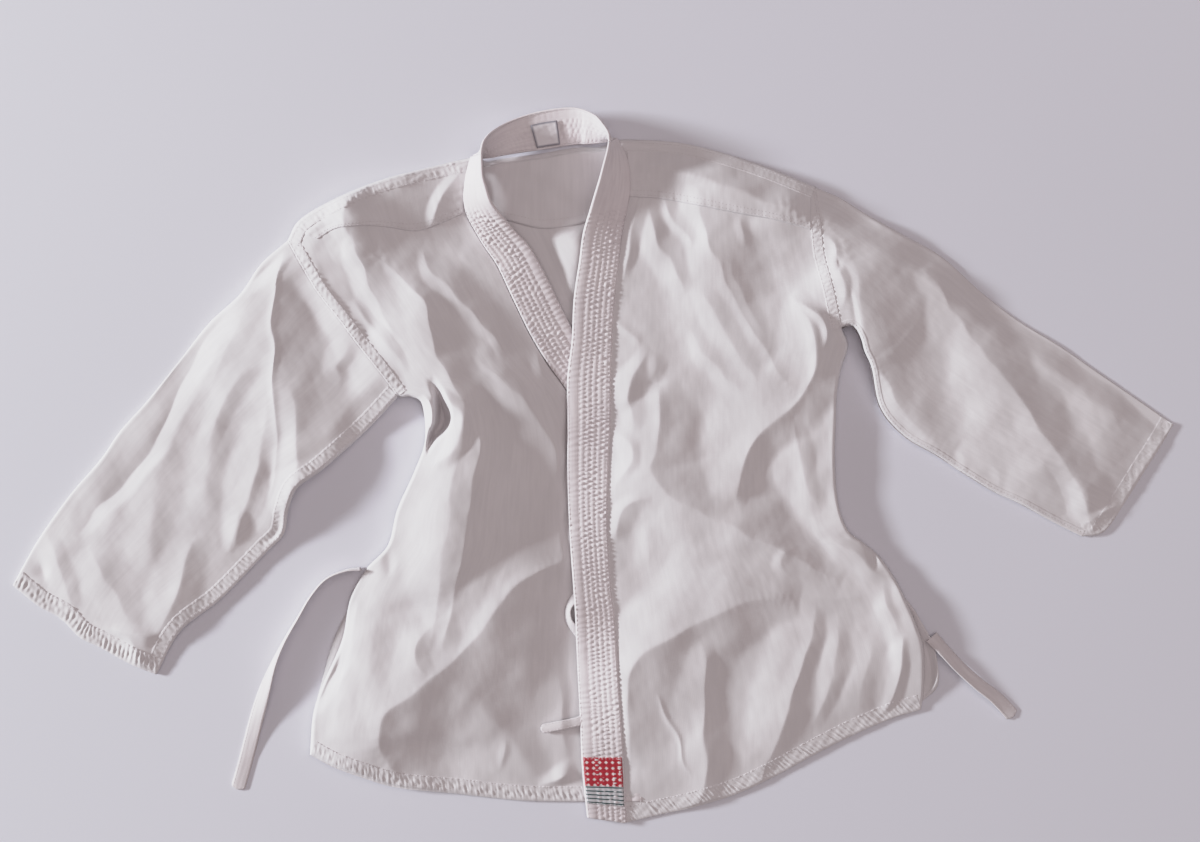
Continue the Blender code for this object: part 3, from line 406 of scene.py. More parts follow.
# the jacket's own edge, all round, in steps
def jacketLine():
    o = outline

    def stepped(points, start=0.0, length=None):
        return along(points, np.linspace(start, 1.0, int((length or lengthOf(points)) / lay["edgeStep"])))

    def side(armhole, below):
        whole = armhole + below[1:]
        return stepped(whole, lengthOf(armhole) / lengthOf(whole), lengthOf(below))

    return np.concatenate([
        stepped(o["shoulderRight"]), stepped(o["shoulderLeft"]), stepped(o["armOuterLeft"]),
        stepped(o["cuffLeft"]), stepped(o["armUnderLeft"][::-1]), side(o["armholeLeft"], o["sideLeft"]),
        stepped(o["hemLeft"][::-1]), stepped(o["hemRight"][::-1]),
        side(o["armholeRight"], o["sideRight"])[::-1], stepped(o["armUnderRight"]),
        stepped(o["cuffRight"][::-1]), stepped(o["armOuterRight"][::-1])])


# how far each place is from that edge
def fromJacketLine(across, down):
    line = jacketLine()
    away = np.full(np.shape(across), np.inf)
    for start, run in zip(line[:-1], np.diff(line, axis=0)):
        toX, toY = across - start[0], down - start[1]
        share = np.clip((toX * run[0] + toY * run[1]) / max(run @ run, 1e-9), 0.0, 1.0)
        away = np.minimum(away, (toX - share * run[0]) ** 2 + (toY - share * run[1]) ** 2)
    return np.maximum(np.sqrt(away) - lay["edgeMiss"], 0.0)


def foldLine(points):
    return along(points, np.linspace(0.0, 1.0, lay["foldSteps"]))


# where places lie to the drawn folds, which stray a little from their lines
def strayed(across, down):
    length, far = lay["stray"]
    return across + far * ripples(across, down, length, 11), down + far * ripples(across, down, length, 12)


# straight sides, with a round crest and a round foot
def profileOf(distance, width, crest):
    rest = 1.0 - (np.hypot(distance, crest) - crest) / width
    foot = lay["footRound"]
    return np.where(rest > foot, rest, np.clip(rest + foot, 0.0, None) ** 2 / (4 * foot))


def foldsRise(folds, across, down):
    x, y = strayed(across, down)
    total = np.zeros(np.shape(across))
    for points, *widths, crest in folds.values():
        line = foldLine(points)
        if widths:
            taper = 0.5 + 0.5 * np.abs(line[:, 2:]) / np.abs(line[:, 2]).max()
            line = np.concatenate([line, widths * taper], axis=1)
        reach = line[:, 3:].max() * (1 + lay["footRound"]) + 2
        low, high = line[:, :2].min(axis=0) - reach, line[:, :2].max(axis=0) + reach
        near = (x > low[0]) & (x < high[0]) & (y > low[1]) & (y < high[1])
        if near.any():
            distance, side, (rise, left, right) = nearest(line, x[near], y[near])
            width = np.where(side > 0, left, right)
            total[near] += rise * profileOf(distance, width, crest * lay["crestShare"])
    return total


# the height with no folds, and the share of a fold's rise that counts there
def usualHeight(across, down):
    fromEdge = fromJacketLine(across, down)
    wall, inside = (np.clip(fromEdge / lay[name], 0.0, 1.0) for name in ("edgeWall", "edgeRound"))
    hem = np.min([nearest(np.array(outline[name], float), across, down)[0]
                  for name in ("hemRight", "hemLeft", "cuffRight", "cuffLeft")], axis=0)
    high = lay["usualRise"] * (lay["hemShare"] + (1 - lay["hemShare"]) * ease(hem, 0.0, lay["hemFlat"]))
    high = high * (lay["sideShare"] + (1 - lay["sideShare"]) * ease(fromEdge, 0.0, lay["sideFlat"]))
    uneven = sum(rise * ripples(across, down, length, int(length)) for length, rise in lay["swell"])
    uneven = uneven + sum(depth * np.hypot(ripples(across, down, length, int(length)), lay["creaseRound"])
                          for length, depth in lay["creases"])
    for name, drop in zip(("armOuterRight", "armOuterLeft"), lay["sleeveDrop"]):
        outer = nearest(np.array(outline[name][1:], float), across, down)[0]
        high = high - drop * (1 - ease(outer, 0.0, lay["sleeveFlat"]))
    share = lay["edgeShare"]
    return ((high + uneven) * wall * (share + (1 - share) * np.sqrt(1.0 - (1.0 - inside) ** 2)),
            wall * (share + (1 - share) * ease(inside, 0.0, 1.0)))


# the underside's height over the right half, and over the left half that laps it
def rightHeight(across, down):
    across, down = np.asarray(across, float), np.asarray(down, float)
    usual, inside = usualHeight(across, down)
    usual = usual * (1.0 - ease(across, *lay["pressedFlat"]))
    folds = foldsRise(rightFolds, across, down) * (1.0 - ease(across, *lay["unfolded"]))
    return np.maximum(lay["lowest"] + usual + folds * inside * lay["foldShare"], lay["floorClear"])


def leftHeight(across, down):
    across, down = np.asarray(across, float), np.asarray(down, float)
    usual, inside = usualHeight(across, down)
    usual = np.maximum(lay["lowest"] + usual, lay["floorClear"])
    folds = foldsRise(leftFolds, across, down)
    lowest = lay["overlapRise"] + (lay["lowest"] - lay["overlapRise"]) * ease(across, *lay["overlapEnds"])
    return np.maximum(usual + folds * inside * lay["foldShare"], np.minimum(lowest, usual))


heights = {"right": rightHeight, "left": leftHeight}
gathering = {
    "bluntest": 3,  # crests rounder than this gather no cells
    "reach": 14,
    "step": 0.5,
    "pull": 0.6,
    "width": 5.0,
    "sides": 6.0,  # cells over which the pull starts from a side
}


# draws a panel's cells closer together at its sharp crests, and leaves its sides where they are
def gathered(plan, folds):
    inRow, inColumn = (np.minimum(np.arange(count), np.arange(count)[::-1]) for count in plan.shape[:2])
    freedom = ease(np.minimum(inRow[:, None], inColumn[None]), 0.0, gathering["sides"])
    step = gathering["step"]
    for points, *widths, crest in folds.values():
        line = foldLine(points)
        low, high = line[:, :2].min(axis=0) - gathering["reach"], line[:, :2].max(axis=0) + gathering["reach"]
        near = ((plan > low) & (plan < high)).all(axis=-1)
        if crest > gathering["bluntest"] or not near.any():
            continue
        x, y = strayed(*plan[near].T)
        here = nearest(line, x, y)[0]
        towards = [nearest(line, x + step, y)[0] - here, nearest(line, x, y + step)[0] - here]
        pull = gathering["pull"] * np.exp(-((here / gathering["width"]) ** 2)) * here * freedom[near]
        plan[near] -= np.stack(towards, axis=-1) / step * pull[:, None]
    return plan


def linear(code):
    parts = [int(code[i:i + 2], 16) / 255 for i in (1, 3, 5)]
    return [part / 12.92 if part <= 0.04045 else ((part + 0.055) / 1.055) ** 2.4 for part in parts] + [1.0]


# adds a node with its settings and its ramp's stops, and links its named inputs
def addNode(material, kind, links=(), stops=(), **settings):
    node = material.node_tree.nodes.new("ShaderNode" + kind)
    for name, value in settings.items():
        if hasattr(node, name):
            setattr(node, name, value)
        else:
            node.inputs[int(name[1:]) if name[1:].isdigit() else name.replace("_", " ")].default_value = value
    for name, output in links:
        material.node_tree.links.new(output, node.inputs[name])
    for place, (position, code) in enumerate(stops):
        node.color_ramp.elements[place].position = position
        node.color_ramp.elements[place].color = linear(code)
    return node


# a wave texture repeats every tenth of pi, so this scale makes it repeat at a size in millimetres
def waveScale(size):
    return math.pi / 10 / (size * mm)


# a material, and the coordinates that its patterns follow
def newMaterial(name, follows, **shader):
    material = bpy.data.materials.new(name)
    material.use_nodes = True
    for socket, value in shader.items():
        material.node_tree.nodes["Principled BSDF"].inputs[socket.replace("_", " ")].default_value = value
    return material, addNode(material, "TexCoord").outputs[follows]


# gives a material's shader its colour and its relief
def dressed(material, colour, relief=None):
    shader = material.node_tree.nodes["Principled BSDF"]
    material.node_tree.links.new(colour, shader.inputs["Base Color"])
    if relief:
        material.node_tree.links.new(relief.outputs[0], shader.inputs["Normal"])
    return material


finishes = {
    "cotton canvas": {
        "colours": ("#D3CED0", "#DBD6D8"), "threadMm": 1.7, "weave": 0.12, "slubMm": 5.0, "slub": 0.04},
    "quilted cotton canvas": {
        "colours": ("#D6CDD0", "#E2DADC"), "threadMm": 1.5, "weave": 0.2, "slubMm": 3.0, "slub": 0.1},
    "herringbone cotton tape": {
        "colours": ("#CFC7C9", "#DFD8DA"), "threadMm": 1.2, "weave": 0.5, "slubMm": 4.0, "slub": 0.15},
}


# Cotton canvas, woven plain: matt, with soft sheen at its edges, faint thicker threads and no gloss. The real
# thread is about 0.5 mm apart, too fine to show, so it is drawn at threadMm.
def cottonCloth(name, finish):
    material, coordinate = newMaterial(name, "UV", Roughness=0.92, Sheen_Weight=0.25, Sheen_Roughness=0.45,
                                       Specular_IOR_Level=0.25)
    threads = [addNode(material, "TexWave", [("Vector", coordinate)], wave_type="BANDS",
                       bands_direction=direction, Scale=waveScale(finish["threadMm"]),
                       Distortion=0.6, Detail=1.0, Detail_Scale=2.0).outputs["Fac"] for direction in "XY"]
    weave = addNode(material, "Math", enumerate(threads), operation="MAXIMUM")
    stretch = addNode(material, "Mapping", [("Vector", coordinate)], Scale=(1.0, 0.12, 1.0))
    slub = addNode(material, "TexNoise", [("Vector", stretch.outputs["Vector"])],
                   Scale=1 / (finish["slubMm"] * mm), Detail=3.0).outputs["Fac"]
    cloud = addNode(material, "TexNoise", [("Vector", coordinate)], Scale=14.0, Detail=2.0)
    mixed = addNode(material, "Math", [(0, slub), (1, cloud.outputs["Fac"])], operation="MULTIPLY")
    ramp = addNode(material, "ValToRGB", [("Fac", mixed.outputs[0])], zip((0.12, 0.36), finish["colours"]))
    fine = addNode(material, "Bump", [("Height", weave.outputs[0])], Strength=finish["weave"],
                   Distance=0.0002)
    rough = addNode(material, "Bump", [("Height", slub), ("Normal", fine.outputs[0])],
                    Strength=finish["slub"], Distance=0.0006)
    return dressed(material, ramp.outputs["Color"], rough)


# a finish of one cloudy colour between two
def clouded(name, dark, light, noise, **shader):
    material, coordinate = newMaterial(name, "Object", **shader)
    cloud = addNode(material, "TexNoise", [("Vector", coordinate)], **noise)
    ramp = addNode(material, "ValToRGB", [("Fac", cloud.outputs["Fac"])], [(0.0, dark), (1.0, light)])
    return dressed(material, ramp.outputs["Color"])


# how far a value is from 0.5
def fromMiddle(material, value):
    offset = addNode(material, "Math", [(0, value)], operation="SUBTRACT", _1=0.5)
    return addNode(material, "Math", [(0, offset.outputs[0])], operation="ABSOLUTE").outputs[0]


# a label's material, the parts of its coordinates, and its fine ribs across
def labelBase(name, ribs, strength, **shader):
    material, coordinate = newMaterial(name, "UV", **shader)
    parts = addNode(material, "SeparateXYZ", [("Vector", coordinate)]).outputs
    wave = addNode(material, "TexWave", [("Vector", coordinate)], wave_type="BANDS", bands_direction="Y",
                   Scale=ribs)
    bump = addNode(material, "Bump", [("Height", wave.outputs["Fac"])], Strength=strength, Distance=0.0003)
    return material, parts, bump


# Satin label tape, left bare: fine ribs across, with a darker woven edge.
def bareLabel():
    material, parts, ribs = labelBase("bare label tape", 9.0, 0.3, Roughness=0.5, Sheen_Weight=0.2)
    fromMiddles = [fromMiddle(material, parts[axis]) for axis in "XY"]
    edge = addNode(material, "Math", enumerate(fromMiddles), operation="MAXIMUM")
    ramp = addNode(material, "ValToRGB", [("Fac", edge.outputs[0])], [(0.40, "#D9D3D6"), (0.47, "#8E8A93")])
    return dressed(material, ramp.outputs["Color"], ribs)


patch = {"field": "#B3122A", "lozenge": "#E6D6D6", "lower": "#C9C8CC", "stripe": "#2E4A4C", "lowerBand": 0.40,
         "lozenges": (6.0, 5.0), "lozengeSize": 0.3, "stripes": 12.0, "stripeSize": 0.16}


# Damask label weave: satin threads with a slight sheen. A red field with pale lozenges over a pale band with
# dark stripes, a generic pattern.
def wovenPatch():
    material, parts, ribs = labelBase("damask label weave", 14.0, 0.35, Roughness=0.55, Sheen_Weight=0.3)

    # how far a place is from the middle of its cell, from 0 to 0.5
    def fromCell(axis, count):
        scaled = addNode(material, "Math", [(0, parts[axis])], operation="MULTIPLY", _1=count)
        part = addNode(material, "Math", [(0, scaled.outputs[0])], operation="FRACT")
        return fromMiddle(material, part.outputs[0])

    def isUnder(value, limit):
        return addNode(material, "Math", [(0, value)], operation="LESS_THAN", _1=limit).outputs[0]

    across, down = patch["lozenges"]
    total = addNode(material, "Math", [
        (0, fromCell("X", across)), (1, fromCell("Y", down / (1 - patch["lowerBand"])))], operation="ADD")
    upper = addNode(material, "Mix", [("Factor", isUnder(total.outputs[0], patch["lozengeSize"]))],
                    data_type="RGBA", _6=linear(patch["field"]), _7=linear(patch["lozenge"]))
    stripe = isUnder(fromCell("Y", patch["stripes"]), patch["stripeSize"])
    lower = addNode(material, "Mix", [("Factor", stripe)],
                    data_type="RGBA", _6=linear(patch["lower"]), _7=linear(patch["stripe"]))
    both = addNode(material, "Mix", [("Factor", isUnder(parts["Y"], patch["lowerBand"])),
                                     (6, upper.outputs[2]), (7, lower.outputs[2])], data_type="RGBA")
    return dressed(material, both.outputs[2], ribs)


canvas, quilted, tape = (cottonCloth(name, finish) for name, finish in finishes.items())
# Polyester thread, twisted: slightly brighter and smoother than the canvas it holds.
thread = clouded("sewing thread", "#BFB5B7", "#DAD3D5", {"Scale": 900.0}, Roughness=0.6, Sheen_Weight=0.2)
labelTape = bareLabel()
labelWeave = wovenPatch()
# Painted board: matt and even.
board = clouded("matt painted board", "#D8D7DF", "#DEDDE5", {"Scale": 1.5, "Detail": 2.0}, Roughness=0.95,
                Specular_IOR_Level=0.1)
print("finishes made")


# puts a mesh into the scene
def linked(name, mesh, material):
    mesh.materials.append(material)
    piece = bpy.data.objects.new(name, mesh)
    bpy.context.scene.collection.objects.link(piece)
    return piece


# turns a bmesh into a smooth piece of the jacket
def finished(name, shape, material):
    mesh = bpy.data.meshes.new(name)
    shape.to_mesh(mesh)
    shape.free()
    mesh.shade_smooth()
    piece = linked(name, mesh, material)
    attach(piece, "root")
    return piece


def cells(count):
    return np.linspace(0.0, 1.0, count // coarse + 1)


# which way the cloth faces at each point
def facing(points):
    normals = np.cross(np.gradient(points, axis=0), np.gradient(points, axis=1))
    return normals / np.maximum(np.linalg.norm(normals, axis=-1), 1e-12)[..., None]


# rows or columns for stitches: the places that are picked from a piece's points, and the way it faces there
def linesAt(points, *picks):
    normals = facing(points)
    return [(points[pick], normals[pick]) for pick in picks]


# A sheet through rows and columns of points on its outer side, with the cut's size for its weave, thickened
# inwards. It stands for a node of the frame. A ring's first and last columns are joined.
def cloth(name, node, points, material, size, thickness=sheet["cloth"], ring=False):
    rows, columns = points.shape[:2]
    shape = bmesh.new()
    cut = shape.loops.layers.uv.verify()
    bmesh.ops.create_grid(shape, x_segments=columns - 1, y_segments=rows - 1, size=0.5)
    for face in shape.faces:
        for loop in face.loops:
            loop[cut].uv = ((loop.vert.co.x + 0.5) * size[0], (0.5 - loop.vert.co.y) * size[1])
    for vert, place in zip(shape.verts, points[::-1].reshape(-1, 3)):
        vert.co = place
    if ring:
        bmesh.ops.remove_doubles(shape, verts=shape.verts, dist=1e-6)
    piece = finished(name, shape, material)
    if thickness:
        shell = piece.modifiers.new("cloth", "SOLIDIFY")
        shell.thickness = thickness * mm
        shell.offset = -1.0
    if node:
        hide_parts(node)


stitch = {"length": 2.6, "gap": 1.0, "width": 0.55, "height": 0.45}


# one row of stitches: places on the cloth, and the way it faces there
def stitchRow(shape, one, places, outwards):
    run = np.concatenate([[0.0], np.cumsum(np.linalg.norm(np.diff(places, axis=0), axis=1))]) / mm
    middles = np.arange(stitch["length"] / 2, run[-1], stitch["length"] + stitch["gap"])
    at, out = (np.stack([np.interp(middles, run, column) for column in values.T], axis=-1)
               for values in (places, outwards))
    forwards = np.gradient(at, axis=0) if len(at) > 1 else np.diff(places[[0, -1]], axis=0)
    for place, up, forward in zip(at, out, forwards):
        x = Vector(forward).normalized()
        y = Vector(up).normalized().cross(x).normalized()
        turn = Matrix((x, y, x.cross(y))).transposed().to_4x4()
        turn.translation = Vector(place)
        one.transform(turn)
        shape.from_mesh(one)
        one.transform(turn.inverted())


def stitches(name, rows):
    seed = bmesh.new()
    bmesh.ops.create_icosphere(seed, subdivisions=1, radius=0.5 * mm)
    bmesh.ops.scale(seed, vec=(stitch["length"], stitch["width"], stitch["height"]), verts=seed.verts)
    one = bpy.data.meshes.new("one stitch")
    seed.to_mesh(one)
    seed.free()
    shape = bmesh.new()
    for places, outwards in rows:
        stitchRow(shape, one, places, outwards)
    bpy.data.meshes.remove(one)
    finished(name, shape, thread)


fronts = {
    "cells": (168, 240),
    "edgeCell": 0.0016,  # a narrow cell for the wall at the edge
    "weave": (0.31, 0.66),  # the size that the weave is drawn to
}
yokes = {
    "cells": (150, 40),
    "weave": (0.19, 0.05),
    "thickness": 0.8,
    "onShoulder": (0.05, 0.93),  # where it starts on the shoulder's line, and its share of that
    "rise": 0.7,
    "turnedDown": 0.8,  # its lower edge, by a share of the rise
    "puckers": (0.12, 7.0, (0.72, 0.95)),  # along the lower edge: height, pitch, and where in the rows
    "gathers": (0.22, 6.5, (0.3, 0.7)),  # and at the ends
    "gatheredEnds": ((0.3, 0.1), (0.72, 0.9)),
    "stitched": (2, 5),  # cells from the lower edge
}


def makeFront(side, shoulder, hem, leftSide, rightSide, folds, yokeLower):
    height, edge = heights[side], fronts["edgeCell"]
    columns = np.unique(np.append(cells(fronts["cells"][0]), edge if side == "right" else 1 - edge))
    rows = np.append(cells(fronts["cells"][1])[:-1], [1 - edge / 2, 1])
    plan = between(along(shoulder, columns), along(hem, columns), leftSide(rows), rightSide(rows),
                   columns, rows)
    across, down = np.moveaxis(gathered(plan, folds), -1, 0)
    points = placed(across, down, height(across, down) + sheet["cloth"])
    cloth(f"front_{side}_cloth", f"front_{side}", points, canvas, fronts["weave"])

    columns, rows = (cells(count) for count in yokes["cells"])
    start, share = yokes["onShoulder"]
    plan = strip(along(shoulder, columns * share + start), along(yokeLower, columns), columns, rows)
    across, down = plan[..., 0], plan[..., 1]
    rise, pitch, where = yokes["puckers"]
    up = height(across, down) + sheet["cloth"] + yokes["rise"]
    up = up + rise * puckers(across, pitch, 31) * ease(rows[:, None], *where)
    rise, length, where = yokes["gathers"]
    atEnds = np.maximum(*(ease(columns, *end) for end in yokes["gatheredEnds"]))[None]
    up = up + rise * ripples(across, down, length, 61) * (atEnds * ease(rows, *where)[:, None])
    up[-1] -= yokes["rise"] * yokes["turnedDown"]
    points = placed(across, down, up)
    cloth(f"yoke_{side}_cloth", f"yoke_{side}", points, canvas, yokes["weave"], yokes["thickness"])
    return linesAt(points, *(-1 - back // coarse for back in yokes["stitched"]))


sleeves = {
    "cells": (104, 190),
    "floorEvery": 8,  # the underside takes only one in so many cells
    "floorRise": 0.05,
    "tubeEdge": 0.66,  # the upper side ends this far in, and the edge is half as high
    "edgeShare": 0.5,
}


# a tube pressed flat: its upper side, and its underside on the floor
def makeSleeve(name, armhole, cuff, firstSide, lastSide, folds, height, weave):
    columns, rows = (cells(count) for count in sleeves["cells"])
    plan = between(along(firstSide, rows), along(lastSide, rows), along(armhole, columns),
                   along(cuff, columns), rows, columns).swapaxes(0, 1)
    plan = gathered(plan, folds)
    first, last = plan[:, :1].copy(), plan[:, -1:].copy()
    inLine = (last - first) / np.linalg.norm(last - first, axis=-1)[..., None]
    plan[:, :1] = first + inLine * sleeves["tubeEdge"]
    plan[:, -1:] = last - inLine * sleeves["tubeEdge"]
    over = height(plan[..., 0], plan[..., 1]) + sheet["cloth"]
    floor = plan[:, ::-sleeves["floorEvery"]]
    floorUp = np.full(floor.shape[:2], sleeves["floorRise"])
    ring = np.concatenate([plan, last, floor, first, plan[:, :1]], axis=1)
    edgeUp = over[:, [-1, 0]] * sleeves["edgeShare"]
    ringUp = np.concatenate([over, edgeUp[:, :1], floorUp, edgeUp[:, 1:], over[:, :1]], axis=1)
    cloth(f"{name}_cloth", name, placed(ring[..., 0], ring[..., 1], ringUp), canvas, weave, ring=True)


backPanel = {
    "cells": (80, 110),
    "rimCells": [0.0015, 0.003, 0.0045, 0.006, 0.0075, 0.009, 0.011],  # narrow cells for the left vent's rim
    "weave": (0.62, 0.66),
    "setIn": 2.0,  # from the fronts' sides
    "overVent": 5,  # the sides end this far above the vents
    "facet": {  # inside the neck, seen only there: across from and to, down from and to
        "neck facet": ([(582, 224, 7, 56, 6), (581, 246, 10, 44, 6), (577, 275, 4.5, 18, 6),
                        (572, 300, 0, 6, 4)], 1.5)},
    "facetIn": ((500, 530), (582, 600), (226, 240), (330, 380)),
    "rim": {  # the left vent's raised rim
        "vent rim": ([(905, 599, 2), (914, 608, 4.5), (928, 632, 5.5), (935, 655, 5.5), (937, 682, 5),
                      (926, 699, 1)], 7, 6, 1)},
    "rimIn": (880, 895),
}


def makeBack():
    columns, rows = (cells(count) for count in backPanel["cells"])
    columns = np.unique(np.append(columns, 1 - np.array(backPanel["rimCells"])))
    top = outline["shoulderRight"] + outline["neckBack"][1:] + outline["shoulderLeft"][1:]
    edges = []
    for side, setIn in (("Right", backPanel["setIn"]), ("Left", -backPanel["setIn"])):
        vent = outline["vent" + side]
        above = [point for point in outline["side" + side] if point[1] < vent[0][1] - backPanel["overVent"]]
        edges.append(beside(along(outline["armhole" + side] + above[1:] + vent, rows), setIn))
    plan = between(along(top, columns), along(outline["hemBack"], columns), *edges, columns, rows)
    across, down = plan[..., 0], plan[..., 1]
    left, right, upper, lower = backPanel["facetIn"]
    seen = ease(across, *left) * (1 - ease(across, *right)) * ease(down, *upper) * (1 - ease(down, *lower))
    up = sheet["cloth"] + foldsRise(backPanel["facet"], across, down) * seen
    up = up + foldsRise(backPanel["rim"], across, down) * ease(across, *backPanel["rimIn"])
    cloth("back_cloth", "back_panel", placed(across, down, up), canvas, backPanel["weave"])


neckYoke = {"cells": (60, 24), "weave": (0.14, 0.06), "thickness": 1.0, "uneven": (0.35, 24.0),
            "turnedDown": 0.6, "stitched": 3}


def makeBackYoke():
    columns, rows = (cells(count) for count in neckYoke["cells"])
    plan = strip(*(along(outline[name], columns) for name in ("yokeBackTop", "yokeBackLower")), columns, rows)
    rise, length = neckYoke["uneven"]
    up = 2 * sheet["cloth"] + sheet["gap"] + rise * ripples(plan[..., 0], plan[..., 1], length, 41)
    up[-1] -= sheet["cloth"] * neckYoke["turnedDown"]
    points = placed(plan[..., 0], plan[..., 1], up)
    cloth("back_yoke_cloth", "back_yoke", points, canvas, neckYoke["weave"], neckYoke["thickness"])
    return linesAt(points, -1 - neckYoke["stitched"] // coarse)


# the band, from the left lapel's hem round the neck to the right lapel's: (seam across, seam down, its rise
# over the front, free edge across, down and up)
lapelLeft = [
    (627, 822, 0, 587, 817, 4.5), (625, 770, 0, 582, 770, 6.5), (622, 719, 0, 580, 719, 7.5),
    (618, 660, 0, 577, 660, 8.5), (614.5, 616, 0, 575, 616, 11.5), (611, 586, 0, 573, 586, 9.5),
    (608, 527, 0, 569, 527, 7), (609, 468, 0, 567, 468, 7), (611, 424, 0, 567, 424, 7.5),
    (611.5, 380, 0, 567, 380, 8), (612.5, 340, 0, 571.5, 340, 9), (615, 300, 0, 573.5, 299, 10),
    (619, 262, 0.5, 579, 261, 12), (622, 235, 1.5, 582.5, 234, 16), (626.5, 212, 1.3, 589, 211, 21),
    (629.5, 195, 1.2, 594, 194, 27), (629.5, 180, 1.2, 598.5, 179, 33), (628, 166, 1.2, 602.5, 164, 37),
    (624, 154, 1, 606, 151, 40), (616, 140, 3.6, 608, 142, 41),
]
collarBack = [
    (616, 140, 3.6, 608, 142, 41), (609, 142, 3.2, 607, 133, 38), (601, 143.5, 3, 602, 124, 32),
    (591, 144.5, 2.5, 593, 114, 24), (575, 145, 2, 575, 107.5, 16), (557, 147.5, 2, 551, 109, 12),
    (538, 150.5, 2, 528, 114, 11), (520, 153, 2, 508, 121.5, 16), (503, 156, 2.5, 493, 130.5, 27),
    (491, 158.5, 3, 485.5, 139, 36), (482, 159, 3, 483, 147, 40), (472, 158, 3, 482.5, 154, 41),
]
lapelRight = [
    (472, 158, 3, 482.5, 154, 41), (469.5, 166, 3, 483, 165, 40), (467, 175, 3, 484, 176, 38),
    (465, 187, 3, 487.5, 188, 34), (464, 200, 3, 491.5, 200, 29), (467, 215, 3, 498, 209.5, 23),
    (475, 231, 1.5, 506, 219.5, 17), (485, 248, 0.5, 516, 231, 12), (497, 266, 0, 531, 248, 9),
    (512, 298, 0, 549, 281, 6), (530, 335, 0, 567, 318, 3.6), (548, 365, 0, 584, 347, 2.5),
    (570, 397, 0, 608, 377, 2), (588, 440, 0, 629, 425, 2), (597, 500, 0, 639, 493, 2),
    (600, 570, 0, 642, 567, 2), (601, 680, 0, 643, 680, 2), (601, 801, 0, 643, 801, 2),
]
quilting = {
    "width": 42.0,
    "thickness": 3.0,
    "shell": 2.0,  # the wall of the cloth itself, inside that
    "rows": [2.5, 8.0, 13.5, 19.0, 24.5, 30.0, 40.3],
    "puff": 0.7,  # how far the cloth stands up between two rows
    "pucker": 1.2,
    "pitch": 4.6,
    "wide": (8, 1.25, 0.4),  # a channel wider than this has puckers this much longer, and lower
    "stitched": (200.0, 222.0),  # the relief fades in between these places down, and rows start in its middle
    "faintest": 0.12,
    "plain": 0.25,  # the relief behind the neck
    "edgeRound": 2.6,
    "edge": 0.4,  # the thickness at the band's two edges
    "across": 40,  # cells
    "lengthwise": {"lapel_left": 620, "lapel_right": 460, "collar_back": 200},
}


# which channel between rows of stitches each place is in, its width, and the share of the way across it
def channelsOf(rows, places):
    rows = np.array(rows)
    channel = np.clip(np.searchsorted(rows, places, side="right") - 1, 0, len(rows) - 2)
    width = rows[channel + 1] - rows[channel]
    return channel, width, (places - rows[channel]) / width


# the wearer's side of the band, at shares of a table's length and at distances from its seam edge
def bandPoints(stations, shares, fromSeam, height):
    seamAcross, seamDown, seamRise, freeAcross, freeDown, freeUp = along(stations, shares).T
    seam = placed(seamAcross, seamDown, seamRise + height(seamAcross, seamDown))
    free = placed(freeAcross, freeDown, freeUp)
    part = (np.asarray(fromSeam) / quilting["width"])[None, :, None]
    return seam[:, None] * (1 - part) + free[:, None] * part


# the quilted relief at distances from the seam and along the band
def quiltRelief(fromSeam, run, seed):
    channels, widths, shares = channelsOf([0.0] + quilting["rows"] + [quilting["width"]], fromSeam)
    puff = np.sin(math.pi * shares) ** 0.6 * quilting["puff"]
    limit, longer, lower = quilting["wide"]
    relief = np.zeros((len(run), len(fromSeam)))
    for column, (share, number, width) in enumerate(zip(shares, channels, widths)):
        pitch = quilting["pitch"] * (longer if width > limit else 1.0)
        strength = quilting["pucker"] * (lower if width > limit else 1.0)
        wave = puckers(run + 1.5 * math.sin(number * 2.1), pitch, seed + 7 * number)
        relief[:, column] = puff[column] + strength * wave * math.sin(math.pi * share) ** 0.5
    return relief


def makeBand(name, stations, height, seed, plain=False):
    shares, fromSeam = cells(quilting["lengthwise"][name]), cells(quilting["across"]) * quilting["width"]
    inner = bandPoints(stations, shares, fromSeam, height)
    length = lengthOf(stations)
    fadeIn = np.maximum(ease(along(stations, shares)[:, 1], *quilting["stitched"]), quilting["faintest"])
    depth = np.full(len(shares), quilting["plain"]) if plain else fadeIn
    relief = quiltRelief(fromSeam, shares * length, seed) * depth[:, None]
    rounded = np.clip(np.minimum(fromSeam, quilting["width"] - fromSeam) / quilting["edgeRound"], 0.0, 1.0)
    thick = quilting["thickness"] - 1.0 + relief
    thick = thick * np.sqrt(1 - (1 - rounded) ** 2)[None] + quilting["edge"]
    outer = inner + facing(inner) * thick[..., None] * mm
    cloth(f"{name}_cloth", name, outer, quilted, (quilting["width"] * mm, length * mm), quilting["shell"])
    rows = [quilting["rows"][0], quilting["rows"][-1]] if plain else quilting["rows"]
    keep = slice(None) if plain else depth > 0.5
    columns = [int(round(row / quilting["width"] * (len(fromSeam) - 1))) for row in rows]
    return linesAt(outer, *((keep, column) for column in columns))


